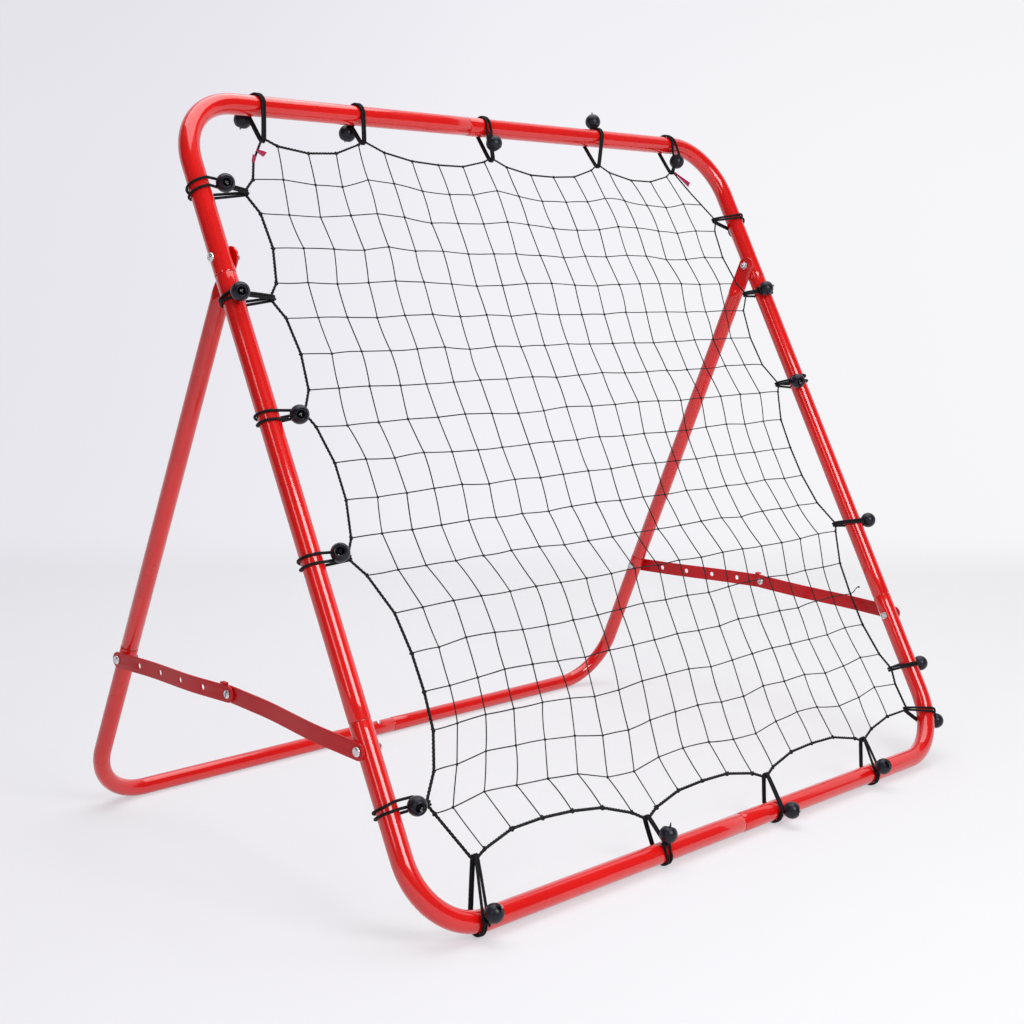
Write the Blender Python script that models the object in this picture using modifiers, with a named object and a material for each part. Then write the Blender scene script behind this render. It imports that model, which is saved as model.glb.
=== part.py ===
"""Soccer rebound net: a leaning square tube frame with a bungee-hung net, propped by a folding rear frame.

Lengths are in metres, +Z is up, and the net faces -Y.
The front frame and the net are drawn flat in their own plane: x across, y up the frame, z towards the ball.
The rear frame is drawn flat in the same way, with its origin on the pivot that it folds about.
"""
import math

import bmesh
import bpy
import numpy
from mathutils import Matrix, Vector

# Front frame, between tube axes
FRAME_HEIGHT = 0.980
TOP_WIDTH = 0.984
FOOT_WIDTH = 1.016
FRONT_CORNER_RADIUS = 0.085
FRONT_TUBE_DIAMETER = 0.025

# Rear frame, between tube axes
LEG_LENGTH = 0.7655
REAR_FOOT_WIDTH = 0.9916
REAR_CORNER_RADIUS = 0.080
REAR_TUBE_DIAMETER = 0.022

# How far the rear bar stands behind the bottom bar, which sets how much both frames lean
STANCE = 0.66398

# Pivots, measured up the tube from the axis of the bottom bar
PIVOT_HEIGHT = 0.778
STRUT_FRONT_HEIGHT = 0.2055
STRUT_REAR_HEIGHT = 0.2225

# Tube joints: each side joint has a bolt through it, and a bar joint's place is from the middle
TUBE_WALL = 0.0012
SPIGOT_LENGTH = 0.050
UPPER_SEAM_BELOW_BOLT = 0.022
LOWER_SEAM_ABOVE_BOLT = 0.0295
REAR_SEAM_ABOVE_BOLT = 0.0175
TOP_BAR_SEAM = -0.029
FOOT_BAR_SEAM = 0.020
REAR_BAR_SEAM = 0.026
BUTTON_SETBACK = 0.029
BUTTON_DIAMETER = 0.007
BUTTON_PROUD = 0.0025

# Flattened top of each rear leg
TAB_THICKNESS = 0.003
TAB_RADIUS = 0.013
TAB_FLAT_LENGTH = 0.022
TAB_BLEND_LENGTH = 0.026

# Folding struts of flat bar
BAR_WIDTH = 0.020
BAR_THICKNESS = 0.0025
STRUT_FRONT_LENGTH = 0.237
STRUT_RISE = 0.0098
ADJUSTING_HOLES = 4
STOP_TAB_LENGTH = 0.007
STOP_TAB_LAP = 0.002
STOP_TAB_AHEAD = 0.008
STOP_TAB_ROOT = 0.010
JOGGLE_START = 0.055
JOGGLE_STEPS = 5

# Fasteners
BOLT_DIAMETER = 0.006
HEAD_DIAMETER = 0.011
HEAD_HEIGHT = 0.0028
RIVET_HEAD_DIAMETER = 0.010
NUT_ACROSS_CORNERS = 0.0115
NUT_HEIGHT = 0.005
THREAD_PROUD = 0.0035
STRUT_NUT_DIAMETER = 0.0104
STRUT_NUT_HEIGHT = 0.0026
THREAD_RECESS = 0.0006
HOLE_DIAMETER = 0.0070

# Net
NET_CELLS = 16
TWINE_WIDTH = 0.0016
BORDER_WIDTH = 0.004
NET_THICKNESS = 0.002
SCALLOP_DEPTH = 0.12
RELAX_ROUNDS = 40

# How far each corner of the net hangs in from the frame's corner, across and up or down
TOP_LEFT_INSET = (0.097, 0.068)
TOP_RIGHT_INSET = (0.088, 0.073)
FOOT_LEFT_INSET = (0.087, 0.083)
FOOT_RIGHT_INSET = (0.061, 0.066)

# Bungees
CORD_DIAMETER = 0.0042
BALL_DIAMETER = 0.022
TIE_STEP = 0.005

# Clearance between pieces that touch
GAP = 0.0003

# Where each bungee ties the net: place along the tube (on a bar from its middle, on a side tube as a share
# of the frame's height), how far the net hangs in from the tube's axis, how far its hook slips along the
# net, the ball's angle round the tube (0 towards the net, 90 to the front) and its slip along the tube
TOP_TIES = (
    (-0.372, 0.046, -0.009, -60.0, -0.006),
    (-0.219, 0.040, -0.004, -60.0, -0.006),
    (0.003, 0.049, -0.004, 60.0, 0.0),
    (0.219, 0.045, -0.003, 165.0, 0.0),
    (0.389, 0.046, -0.005, 55.0, 0.0),
)
LEFT_TIES = (
    (0.8796, 0.062, 0.000, 50.0, 0.0),
    (0.7418, 0.054, 0.000, 80.0, 0.0),
    (0.5959, 0.053, 0.002, 45.0, 0.0),
    (0.4235, 0.052, -0.002, 50.0, 0.0),
    (0.1388, 0.057, -0.002, 50.0, 0.0),
)
RIGHT_TIES = (
    (0.8735, 0.050, -0.001, -70.0, -0.006),
    (0.7480, 0.046, -0.003, 90.0, 0.0),
    (0.5929, 0.052, 0.000, 100.0, 0.0),
    (0.3612, 0.047, 0.000, 165.0, 0.0),
    (0.1306, 0.049, 0.000, 175.0, 0.0),
    (0.0531, 0.049, 0.012, 170.0, 0.0),
)
FOOT_TIES = (
    (-0.425, 0.062, 0.013, 90.0, 0.0),
    (-0.125, 0.045, -0.010, 60.0, 0.0),
    (0.107, 0.045, -0.004, 110.0, 0.0),
    (0.328, 0.047, 0.002, 85.0, 0.0),
)

# Faceting: a tube has 2 * resolution + 4 sides
TUBE_RESOLUTION = 4
TUBE_SIDES = 2 * TUBE_RESOLUTION + 4
CORD_RESOLUTION = 1
BEND_STEPS = 7
ROUND_STEPS = 10
TUBE_ARC_STEPS = 7
HOOK_ARC_STEPS = 3

# Finishes: base colour, roughness, metallic
RED_PAINT = ("red_paint", (0.60, 0.012, 0.010), 0.25, 0.0)
RED_BAR_PAINT = ("red_bar_paint", (0.50, 0.014, 0.014), 0.32, 0.0)
ZINC = ("zinc", (0.62, 0.62, 0.60), 0.30, 1.0)
BLACK_TWINE = ("black_twine", (0.012, 0.012, 0.014), 0.75, 0.0)
BLACK_BUNGEE = ("black_bungee", (0.012, 0.012, 0.015), 0.60, 0.0)

FRONT_RADIUS = FRONT_TUBE_DIAMETER / 2
REAR_RADIUS = REAR_TUBE_DIAMETER / 2
CORD_RADIUS = CORD_DIAMETER / 2
BALL_RADIUS = BALL_DIAMETER / 2
FRONT_AXIS_HEIGHT = FRONT_RADIUS + GAP + CORD_DIAMETER
REAR_AXIS_HEIGHT = REAR_RADIUS * math.cos(math.pi / TUBE_SIDES)
UPPER_SEAM_HEIGHT = PIVOT_HEIGHT - UPPER_SEAM_BELOW_BOLT
LOWER_SEAM_HEIGHT = STRUT_FRONT_HEIGHT + LOWER_SEAM_ABOVE_BOLT
REAR_LEG_SEAM_HEIGHT = STRUT_REAR_HEIGHT + REAR_SEAM_ABOVE_BOLT
NET_TOP_LEFT = (TOP_LEFT_INSET[0] - TOP_WIDTH / 2, FRAME_HEIGHT - TOP_LEFT_INSET[1])
NET_TOP_RIGHT = (TOP_WIDTH / 2 - TOP_RIGHT_INSET[0], FRAME_HEIGHT - TOP_RIGHT_INSET[1])
NET_FOOT_LEFT = (FOOT_LEFT_INSET[0] - FOOT_WIDTH / 2, FOOT_LEFT_INSET[1])
NET_FOOT_RIGHT = (FOOT_WIDTH / 2 - FOOT_RIGHT_INSET[0], FOOT_RIGHT_INSET[1])


def clear_scene():
    for item in list(bpy.data.objects):
        bpy.data.objects.remove(item, do_unlink=True)


def new_collection(name):
    collection = bpy.data.collections.new(name)
    bpy.context.scene.collection.children.link(collection)
    return collection


def material(finish):
    """One Principled BSDF material for each finish."""
    name, colour, roughness, metallic = finish
    found = bpy.data.materials.get(name)
    if found:
        return found
    made = bpy.data.materials.new(name)
    made.use_nodes = True
    shader = made.node_tree.nodes["Principled BSDF"]
    shader.inputs["Base Color"].default_value = (*colour, 1.0)
    shader.inputs["Roughness"].default_value = roughness
    shader.inputs["Metallic"].default_value = metallic
    return made


def add_empty(name, parent=None, location=(0.0, 0.0, 0.0), turn_x=0.0):
    empty = bpy.data.objects.new(name, None)
    PARTS.objects.link(empty)
    empty.parent = parent
    empty.location = location
    empty.rotation_euler = (turn_x, 0.0, 0.0)
    return empty


def add_part(name, mesh, finish, parent, location=(0.0, 0.0, 0.0), smooth=True):
    """A named sub-part with its own material, placed under its parent."""
    part = bpy.data.objects.new(name, mesh)
    PARTS.objects.link(part)
    part.parent = parent
    part.location = location
    mesh.materials.clear()
    mesh.materials.append(material(finish))
    if smooth:
        mesh.shade_smooth()
        mesh.set_sharp_from_angle(angle=math.radians(40.0))
    return part


def curve_mesh(curve, weld=False):
    """The mesh of a curve, with its caps welded on when it has any."""
    holder = bpy.data.objects.new(curve.name, curve)
    bpy.context.scene.collection.objects.link(holder)
    bpy.context.view_layer.update()
    evaluated = holder.evaluated_get(bpy.context.evaluated_depsgraph_get())
    mesh = bpy.data.meshes.new_from_object(evaluated)
    bpy.data.objects.remove(holder, do_unlink=True)
    if weld:
        work = bmesh.new()
        work.from_mesh(mesh)
        bmesh.ops.remove_doubles(work, verts=work.verts, dist=1e-6)
        work.to_mesh(mesh)
        work.free()
    return mesh


def tube_curve(name, stations, radius, resolution, closed=False, capped=False, tilt=0.0):
    """A round bar along the stations, each a point and its share of the radius."""
    curve = bpy.data.curves.new(name, "CURVE")
    curve.dimensions = "3D"
    curve.twist_mode = "Z_UP"
    curve.bevel_depth = radius
    curve.bevel_resolution = resolution
    curve.use_fill_caps = capped
    spline = curve.splines.new("POLY")
    spline.points.add(len(stations) - 1)
    for target, (point, share) in zip(spline.points, stations):
        target.co = (*point, 1.0)
        target.radius = share
        target.tilt = tilt
    spline.use_cyclic_u = closed
    return curve


def cut(part, cutter):
    boolean = part.modifiers.new("cut_" + cutter.name, "BOOLEAN")
    boolean.operation = "DIFFERENCE"
    boolean.solver = "EXACT"
    boolean.object = cutter


def cross_cutter(name, diameter, length, parent, location, axis="X"):
    """A round cutter along the x or y axis of its parent, for bolt and button holes and bores."""
    mesh = bpy.data.meshes.new(name)
    work = bmesh.new()
    turn = Matrix.Rotation(math.radians(90.0), 4, "Y" if axis == "X" else "X")
    bmesh.ops.create_cone(work, cap_ends=True, segments=ROUND_STEPS, radius1=diameter / 2,
                          radius2=diameter / 2, depth=length, matrix=turn)
    work.to_mesh(mesh)
    work.free()
    cutter = bpy.data.objects.new(name, mesh)
    CUTTERS.objects.link(cutter)
    cutter.parent = parent
    cutter.location = location
    cutter.hide_render = True
    cutter.display_type = "WIRE"
    return cutter


def turned(name, profile, steps, finish, parent, location, side=1.0, closed=False):
    """A turned piece about its parent's x axis, its +x end first in the profile of (radius, x) points."""
    mesh = bpy.data.meshes.new(name)
    work = bmesh.new()
    verts = [work.verts.new((radius, 0.0, height)) for radius, height in profile]
    for first, second in zip(verts, verts[1:]):
        work.edges.new((first, second))
    if closed:
        work.edges.new((verts[-1], verts[0]))
    work.to_mesh(mesh)
    work.free()
    part = add_part(name, mesh, finish, parent, location, smooth=False)
    part.rotation_euler = (0.0, math.radians(90.0 * side), 0.0)
    screw = part.modifiers.new("turn", "SCREW")
    screw.axis = "Z"
    screw.steps = steps
    screw.render_steps = steps
    screw.use_merge_vertices = True
    screw.merge_threshold = 1e-5
    screw.use_smooth_shade = True
    return part


def bend_path(points, radius):
    """The points with each inner corner rounded to the bend radius, and the path's tangent arcs."""
    path = [Vector(points[0])]
    for before, corner, after in zip(points, points[1:], points[2:]):
        corner = Vector(corner)
        back = (Vector(before) - corner).normalized()
        ahead = (Vector(after) - corner).normalized()
        half = back.angle(ahead) / 2
        centre = corner + (back + ahead).normalized() * (radius / math.sin(half))
        start = corner + back * (radius / math.tan(half)) - centre
        swing = math.pi - 2 * half
        turn_sign = 1.0 if back.cross(ahead).z < 0 else -1.0
        for step in range(BEND_STEPS + 1):
            turn = Matrix.Rotation(turn_sign * swing * step / BEND_STEPS, 3, "Z")
            path.append(centre + turn @ start)
    path.append(Vector(points[-1]))
    return path


def spigot_radius(radius):
    """The outer radius of a reduced end that slides into a tube of this radius, whose sides are flat."""
    return radius * math.cos(math.pi / TUBE_SIDES) - TUBE_WALL - GAP


def bent_tube(name, points, bend_radius, diameter, parent, start_spigot=False, end_spigot=False, tilt=0.0):
    """A hollow tube through the points; a spigot is a reduced end that slides into the next tube."""
    radius = diameter / 2
    spigot_share = spigot_radius(radius) / radius
    path = bend_path(points, bend_radius)
    stations = [(point, 1.0) for point in path]
    if start_spigot:
        outward = (path[0] - path[1]).normalized()
        stations = [(path[0] + outward * SPIGOT_LENGTH, spigot_share),
                    (path[0] + outward * GAP, spigot_share)] + stations
    if end_spigot:
        outward = (path[-1] - path[-2]).normalized()
        stations = stations + [(path[-1] + outward * GAP, spigot_share),
                               (path[-1] + outward * SPIGOT_LENGTH, spigot_share)]
    mesh = curve_mesh(tube_curve(name, stations, radius, TUBE_RESOLUTION, tilt=tilt))
    part = add_part(name, mesh, RED_PAINT, parent)
    wall = part.modifiers.new("wall", "SOLIDIFY")
    wall.thickness = TUBE_WALL
    wall.offset = -1.0
    return part


def side_x(height):
    """Half the distance between the side tubes' axes at a height up the front frame."""
    return (FOOT_WIDTH + (TOP_WIDTH - FOOT_WIDTH) * height / FRAME_HEIGHT) / 2


def leg_x(height):
    """Half the distance between the rear legs' axes at a height above the rear bar."""
    return (REAR_FOOT_WIDTH + (rear_top_width() - REAR_FOOT_WIDTH) * height / LEG_LENGTH) / 2


def rear_top_width():
    """The legs' flat tabs lie against the inner sides of the front frame's side tubes."""
    return 2 * (side_x(PIVOT_HEIGHT) - FRONT_RADIUS - GAP - TAB_THICKNESS / 2)


def front_point(x, height, out=0.0):
    return Vector((x, height, out))


def front_frame_tubes():
    """Two top corners, two side tubes and two foot corners, pushed together at six joints."""
    top = FRAME_HEIGHT
    shoulder = GAP
    for side, sign in (("left", -1.0), ("right", 1.0)):
        clearance = 0.0 if side == "left" else shoulder
        corner = bent_tube("front_top_" + side + "_tube",
                           [front_point(TOP_BAR_SEAM + clearance, top),
                            front_point(sign * side_x(top), top),
                            front_point(sign * side_x(UPPER_SEAM_HEIGHT), UPPER_SEAM_HEIGHT)],
                           FRONT_CORNER_RADIUS, FRONT_TUBE_DIAMETER, FRONT, start_spigot=side == "left")
        upper = UPPER_SEAM_HEIGHT - shoulder
        lower = LOWER_SEAM_HEIGHT + shoulder
        straight = bent_tube("front_" + side + "_side_tube",
                             [front_point(sign * side_x(lower), lower),
                              front_point(sign * side_x(upper), upper)],
                             FRONT_CORNER_RADIUS, FRONT_TUBE_DIAMETER, FRONT,
                             start_spigot=True, end_spigot=True)
        foot = bent_tube("front_foot_" + side + "_tube",
                         [front_point(FOOT_BAR_SEAM + clearance, 0.0),
                          front_point(sign * side_x(0.0), 0.0),
                          front_point(sign * side_x(LOWER_SEAM_HEIGHT), LOWER_SEAM_HEIGHT)],
                         FRONT_CORNER_RADIUS, FRONT_TUBE_DIAMETER, FRONT, start_spigot=side == "left")
        for height, sleeve in ((PIVOT_HEIGHT, corner), (STRUT_FRONT_HEIGHT, foot)):
            hole = cross_cutter(sleeve.name + "_bolt_hole", HOLE_DIAMETER, 2 * FRONT_TUBE_DIAMETER,
                                FRONT, front_point(sign * side_x(height), height))
            cut(sleeve, hole)
            cut(straight, hole)


def leg_section(drop):
    """Half thickness and half width of a rear leg at a distance below its pivot bolt."""
    flat_half = TAB_THICKNESS / 2
    if drop < 0.0:
        return flat_half, math.sqrt(max(TAB_RADIUS ** 2 - drop ** 2, (TAB_RADIUS / 4) ** 2))
    share = min(max((drop - TAB_FLAT_LENGTH) / TAB_BLEND_LENGTH, 0.0), 1.0)
    share = share * share * (3.0 - 2.0 * share)
    return (flat_half + (REAR_RADIUS - flat_half) * share,
            TAB_RADIUS + (REAR_RADIUS - TAB_RADIUS) * share)


def rear_leg(side, sign):
    """A straight leg: flattened and drilled at the top, hollow below, with a spigot at its foot."""
    foot_height = REAR_LEG_SEAM_HEIGHT + GAP
    length = LEG_LENGTH - foot_height
    round_start = TAB_FLAT_LENGTH + TAB_BLEND_LENGTH
    spigot_share = spigot_radius(REAR_RADIUS) / REAR_RADIUS
    drops = [-TAB_RADIUS, -0.9 * TAB_RADIUS, -0.6 * TAB_RADIUS, 0.0, TAB_FLAT_LENGTH]
    drops += [TAB_FLAT_LENGTH + TAB_BLEND_LENGTH * step / 4 for step in (1, 2, 3, 4)]
    stations = [((0.0, -drop, 0.0), 1.0) for drop in drops]
    stations += [((0.0, -length, 0.0), 1.0), ((0.0, -length - GAP, 0.0), spigot_share),
                 ((0.0, -length - SPIGOT_LENGTH, 0.0), spigot_share)]
    name = "rear_" + side + "_leg"
    mesh = curve_mesh(tube_curve(name, stations, REAR_RADIUS, TUBE_RESOLUTION, capped=True), weld=True)
    for vertex in mesh.vertices:
        drop = -vertex.co.y
        if drop < round_start - GAP:
            half_thickness, half_width = leg_section(drop)
            share = (half_thickness - TAB_THICKNESS / 2) / (REAR_RADIUS - TAB_THICKNESS / 2)
            square = 1.0 + 1.5 * (1.0 - share)
            across = max(-1.0, min(1.0, square * vertex.co.x / REAR_RADIUS))
            vertex.co.x = across * half_thickness
            vertex.co.z = vertex.co.z / REAR_RADIUS * half_width
    leg = add_part(name, mesh, RED_PAINT, REAR, (sign * rear_top_width() / 2, 0.0, 0.0))
    leg.rotation_euler = (0.0, 0.0, sign * math.atan2(leg_x(0.0) - leg_x(LEG_LENGTH), LEG_LENGTH))
    bore_length = length - round_start - TUBE_WALL
    bore = cross_cutter(name + "_bore", 2 * (REAR_RADIUS - TUBE_WALL), bore_length,
                        leg, (0.0, -round_start - bore_length / 2, 0.0), axis="Y")
    spigot_bore = cross_cutter(name + "_spigot_bore", 2 * (spigot_radius(REAR_RADIUS) - TUBE_WALL),
                               4 * SPIGOT_LENGTH, leg, (0.0, -length - SPIGOT_LENGTH, 0.0), axis="Y")
    cut(leg, bore)
    cut(leg, spigot_bore)
    pin_hole = cross_cutter(name + "_pivot_hole", HOLE_DIAMETER, REAR_TUBE_DIAMETER, REAR,
                            (sign * rear_top_width() / 2, 0.0, 0.0))
    cut(leg, pin_hole)
    return leg


def rear_frame_tubes():
    """Two flattened legs and two corner tubes that meet in the middle of the rear bar."""
    for side, sign in (("left", -1.0), ("right", 1.0)):
        leg = rear_leg(side, sign)
        bar_end = REAR_BAR_SEAM + (0.0 if side == "left" else GAP)
        corner = bent_tube("rear_" + side + "_corner_tube",
                           [Vector((bar_end, -LEG_LENGTH, 0.0)),
                            Vector((sign * leg_x(0.0), -LEG_LENGTH, 0.0)),
                            Vector((sign * leg_x(REAR_LEG_SEAM_HEIGHT),
                                    REAR_LEG_SEAM_HEIGHT - LEG_LENGTH, 0.0))],
                           REAR_CORNER_RADIUS, REAR_TUBE_DIAMETER, REAR, start_spigot=side == "right",
                           tilt=-sign * floor_facet_tilt())
        hole = cross_cutter("rear_" + side + "_strut_hole", HOLE_DIAMETER, 2 * REAR_TUBE_DIAMETER, REAR,
                            (sign * leg_x(STRUT_REAR_HEIGHT), STRUT_REAR_HEIGHT - LEG_LENGTH, 0.0))
        cut(leg, hole)
        cut(corner, hole)
        cut(corner, button_hole())


def floor_facet_tilt():
    """How far the rear corner tubes turn in their own plane so that one flat side faces the floor."""
    rear_lean = REAR.rotation_euler.x - math.radians(90.0)
    return rear_lean - math.pi / TUBE_SIDES


def button_place():
    """The button stands on the side of the rear bar that faces the pivots."""
    return Vector((REAR_BAR_SEAM - BUTTON_SETBACK, REAR_RADIUS - LEG_LENGTH, 0.0))


def button_hole():
    """One hole through the sleeve and the spigot, for the spring button of the rear bar."""
    found = bpy.data.objects.get("rear_bar_button_hole")
    if found:
        return found
    return cross_cutter("rear_bar_button_hole", BUTTON_DIAMETER + 4 * GAP, REAR_RADIUS,
                        REAR, button_place(), axis="Y")


def rear_snap_button():
    """A round-nosed button that springs out through the joint of the rear bar."""
    radius = BUTTON_DIAMETER / 2
    inner = -2 * TUBE_WALL - 4 * GAP
    profile = ((0.0, BUTTON_PROUD), (0.7 * radius, 0.75 * BUTTON_PROUD), (radius, 0.0),
               (radius, inner), (0.0, inner))
    button = turned("rear_snap_button", profile, ROUND_STEPS, ZINC, REAR, button_place())
    button.rotation_euler = (math.radians(-90.0), 0.0, 0.0)


def bolt(name, under_head, length, side, parent, location):
    """A domed bolt along x whose head is outboard; the location's x is the tube's axis under the head."""
    radius = HEAD_DIAMETER / 2
    shank = BOLT_DIAMETER / 2
    profile = ((0.0, HEAD_HEIGHT), (0.55 * radius, 0.85 * HEAD_HEIGHT), (radius, 0.35 * HEAD_HEIGHT),
               (radius, 0.0), (shank, 0.0), (shank, -length), (0.0, -length))
    seat = Vector(location) + Vector((side * under_head, 0.0, 0.0))
    turned(name, profile, ROUND_STEPS, ZINC, parent, seat, side)


def nut(name, profile, steps, seat, side, parent, location):
    """A nut round its bolt's line; its profile starts at its seat, which is inboard of the tube's axis."""
    place = Vector(location) + Vector((side * seat, 0.0, 0.0))
    turned(name, profile, steps, ZINC, parent, place, side, closed=True)


def hexagon_nut_profile():
    outer = NUT_ACROSS_CORNERS / 2
    bore = HOLE_DIAMETER / 2 + GAP
    return (outer, 0.0), (outer, -NUT_HEIGHT), (bore, -NUT_HEIGHT), (bore, 0.0)


def round_nut_profile():
    """A low round nut with an eased rim."""
    outer = STRUT_NUT_DIAMETER / 2
    bore = HOLE_DIAMETER / 2 + GAP
    return ((outer, 0.0), (outer, -0.4 * STRUT_NUT_HEIGHT), (0.85 * outer, -STRUT_NUT_HEIGHT),
            (bore, -STRUT_NUT_HEIGHT), (bore, 0.0))


def pivot_hardware():
    """The bolts and nuts of the rear frame's pivots and of the struts' outer ends."""
    for side, sign in (("left", -1.0), ("right", 1.0)):
        pivot = (sign * side_x(PIVOT_HEIGHT), PIVOT_HEIGHT, 0.0)
        seat = FRONT_RADIUS + GAP
        grip = 2 * seat + TAB_THICKNESS + GAP
        bolt("pivot_bolt_" + side, seat, grip + GAP + NUT_HEIGHT + THREAD_PROUD, sign, FRONT, pivot)
        nut("pivot_nut_" + side, hexagon_nut_profile(), 6, seat - grip - GAP, sign, FRONT, pivot)

        front = (sign * side_x(STRUT_FRONT_HEIGHT), STRUT_FRONT_HEIGHT, 0.0)
        rear = (sign * leg_x(STRUT_REAR_HEIGHT), STRUT_REAR_HEIGHT - LEG_LENGTH, 0.0)
        ends = (("front", front, FRONT_RADIUS, FRONT), ("rear", rear, REAR_RADIUS, REAR))
        for end, place, tube_radius, parent in ends:
            seat = tube_radius + 2 * GAP + BAR_THICKNESS
            nut_seat = -tube_radius - GAP
            length = seat - nut_seat + STRUT_NUT_HEIGHT - THREAD_RECESS
            bolt("strut_" + end + "_bolt_" + side, seat, length, sign, parent, place)
            nut("strut_" + end + "_nut_" + side, round_nut_profile(), ROUND_STEPS, nut_seat, sign,
                parent, place)


def plate_mesh(name, rings, thickness):
    """A flat plate from closed rings of points: the first is its outline, the others are holes."""
    curve = bpy.data.curves.new(name, "CURVE")
    curve.dimensions = "2D"
    curve.fill_mode = "BOTH"
    curve.extrude = thickness / 2
    for ring in rings:
        spline = curve.splines.new("POLY")
        spline.points.add(len(ring) - 1)
        for target, (along, across) in zip(spline.points, ring):
            target.co = (along, across, 0.0, 1.0)
        spline.use_cyclic_u = True
    return curve_mesh(curve, weld=True)


def arc(centre, radius, start, swing, steps):
    """Points on a flat arc, its angles in degrees."""
    angles = [math.radians(start + swing * step / steps) for step in range(steps + 1)]
    return [(centre[0] + radius * math.cos(angle), centre[1] + radius * math.sin(angle))
            for angle in angles]


def flat_bar_mesh(name, length, holes, start_plane, end_plane):
    """A round-ended flat bar along y, drilled, that steps over in x from one plane to another."""
    half_width = BAR_WIDTH / 2
    half_round = ROUND_STEPS // 2
    outline = arc((0.0, 0.0), half_width, 90.0, 180.0, half_round)
    outline += arc((length, 0.0), half_width, -90.0, 180.0, half_round)
    rings = [outline]
    for along in holes:
        rings.append(arc((along, 0.0), HOLE_DIAMETER / 2, 0.0, 360.0, ROUND_STEPS)[:-1])
    mesh = plate_mesh(name, rings, BAR_THICKNESS)
    mesh.transform(Matrix(((0, 0, 1, 0), (1, 0, 0, 0), (0, 1, 0, 0), (0, 0, 0, 1))))
    stations = [JOGGLE_START + (length - 2 * JOGGLE_START) * step / JOGGLE_STEPS
                for step in range(JOGGLE_STEPS + 1)]
    shifts = []
    for step in range(JOGGLE_STEPS + 1):
        share = step / JOGGLE_STEPS
        shifts.append(start_plane + (end_plane - start_plane) * share * share * (3.0 - 2.0 * share))
    work = bmesh.new()
    work.from_mesh(mesh)
    for station in stations:
        everything = work.verts[:] + work.edges[:] + work.faces[:]
        bmesh.ops.bisect_plane(work, geom=everything, dist=1e-6, plane_co=(0.0, station, 0.0),
                               plane_no=(0.0, 1.0, 0.0))
    for vertex in work.verts:
        vertex.co.x += numpy.interp(vertex.co.y, stations, shifts)
    work.to_mesh(mesh)
    work.free()
    return mesh


def strut_points():
    """The front bolt, the rivet and the rear bolt of a strut, in the upright plane of y and z."""
    front = FRONT.matrix_world @ front_point(0.0, STRUT_FRONT_HEIGHT)
    rear = REAR.matrix_world @ Vector((0.0, STRUT_REAR_HEIGHT - LEG_LENGTH, 0.0))
    line = (rear - front).normalized()
    upward = Vector((1.0, 0.0, 0.0)).cross(line)
    reach = math.sqrt(STRUT_FRONT_LENGTH ** 2 - STRUT_RISE ** 2)
    return front, front + line * reach + upward * STRUT_RISE, rear


def struts():
    """Two drilled flat bars a side, riveted together so that they lock just above the straight line."""
    front, rivet, rear = strut_points()
    rear_length = (rear - rivet).length
    hole_pitch = rear_length / (ADJUSTING_HOLES + 1)
    pitch_holes = [hole_pitch * step for step in range(ADJUSTING_HOLES + 2)]
    front_face = side_x(STRUT_FRONT_HEIGHT) + FRONT_RADIUS + GAP
    rear_face = leg_x(STRUT_REAR_HEIGHT) + REAR_RADIUS + GAP
    lap_face = (front_face + rear_face - BAR_THICKNESS - GAP) / 2
    rear_lap_face = lap_face + BAR_THICKNESS + GAP
    middle = BAR_THICKNESS / 2
    for side, sign in (("left", -1.0), ("right", 1.0)):
        mesh = flat_bar_mesh("front_strut_" + side, STRUT_FRONT_LENGTH, (0.0, STRUT_FRONT_LENGTH),
                             sign * (front_face + middle), sign * (lap_face + middle))
        bar = add_part("front_strut_" + side, mesh, RED_BAR_PAINT, ROOT, front)
        angle = math.atan2(rivet.z - front.z, rivet.y - front.y)
        bar.rotation_euler = (angle, 0.0, 0.0)
        join(bar, stop_tab(bar, sign, lap_face))

        mesh = flat_bar_mesh("rear_strut_" + side, rear_length, pitch_holes,
                             sign * (rear_face + middle), sign * (rear_lap_face + middle))
        bar = add_part("rear_strut_" + side, mesh, RED_BAR_PAINT, ROOT, rear)
        bar.rotation_euler = (math.atan2(rivet.z - rear.z, rivet.y - rear.y), 0.0, 0.0)
        rivets(side, sign, rivet, lap_face, rear_lap_face)


def stop_tab(bar, sign, lap_face):
    """The ear bent out over the rear bar at the end of the front bar, which stops the rivet dropping."""
    reach = 2 * BAR_THICKNESS + GAP + STOP_TAB_LAP
    inner = GAP / 2
    web = BAR_THICKNESS - GAP
    top = BAR_WIDTH / 2 + GAP + BAR_THICKNESS
    bend = arc((inner + BAR_THICKNESS, top - BAR_THICKNESS), BAR_THICKNESS, 180.0, -90.0, 3)
    outline = [(inner, top - STOP_TAB_ROOT)] + bend
    outline += [(reach, top), (reach, top - BAR_THICKNESS), (inner + web, top - BAR_THICKNESS),
                (inner + web, top - STOP_TAB_ROOT)]
    mesh = plate_mesh(bar.name + "_stop_tab", [outline], STOP_TAB_LENGTH)
    mesh.transform(Matrix(((sign, 0, 0, 0), (0, 0, -sign, 0), (0, 1, 0, 0), (0, 0, 0, 1))))
    tab = bpy.data.objects.new(mesh.name, mesh)
    CUTTERS.objects.link(tab)
    tab.parent = bar
    tab.location = (sign * lap_face, STRUT_FRONT_LENGTH + STOP_TAB_AHEAD, 0.0)
    tab.hide_render = True
    tab.display_type = "WIRE"
    return tab


def join(part, other):
    boolean = part.modifiers.new("join_" + other.name, "BOOLEAN")
    boolean.operation = "UNION"
    boolean.solver = "EXACT"
    boolean.use_self = True
    boolean.object = other


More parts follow.
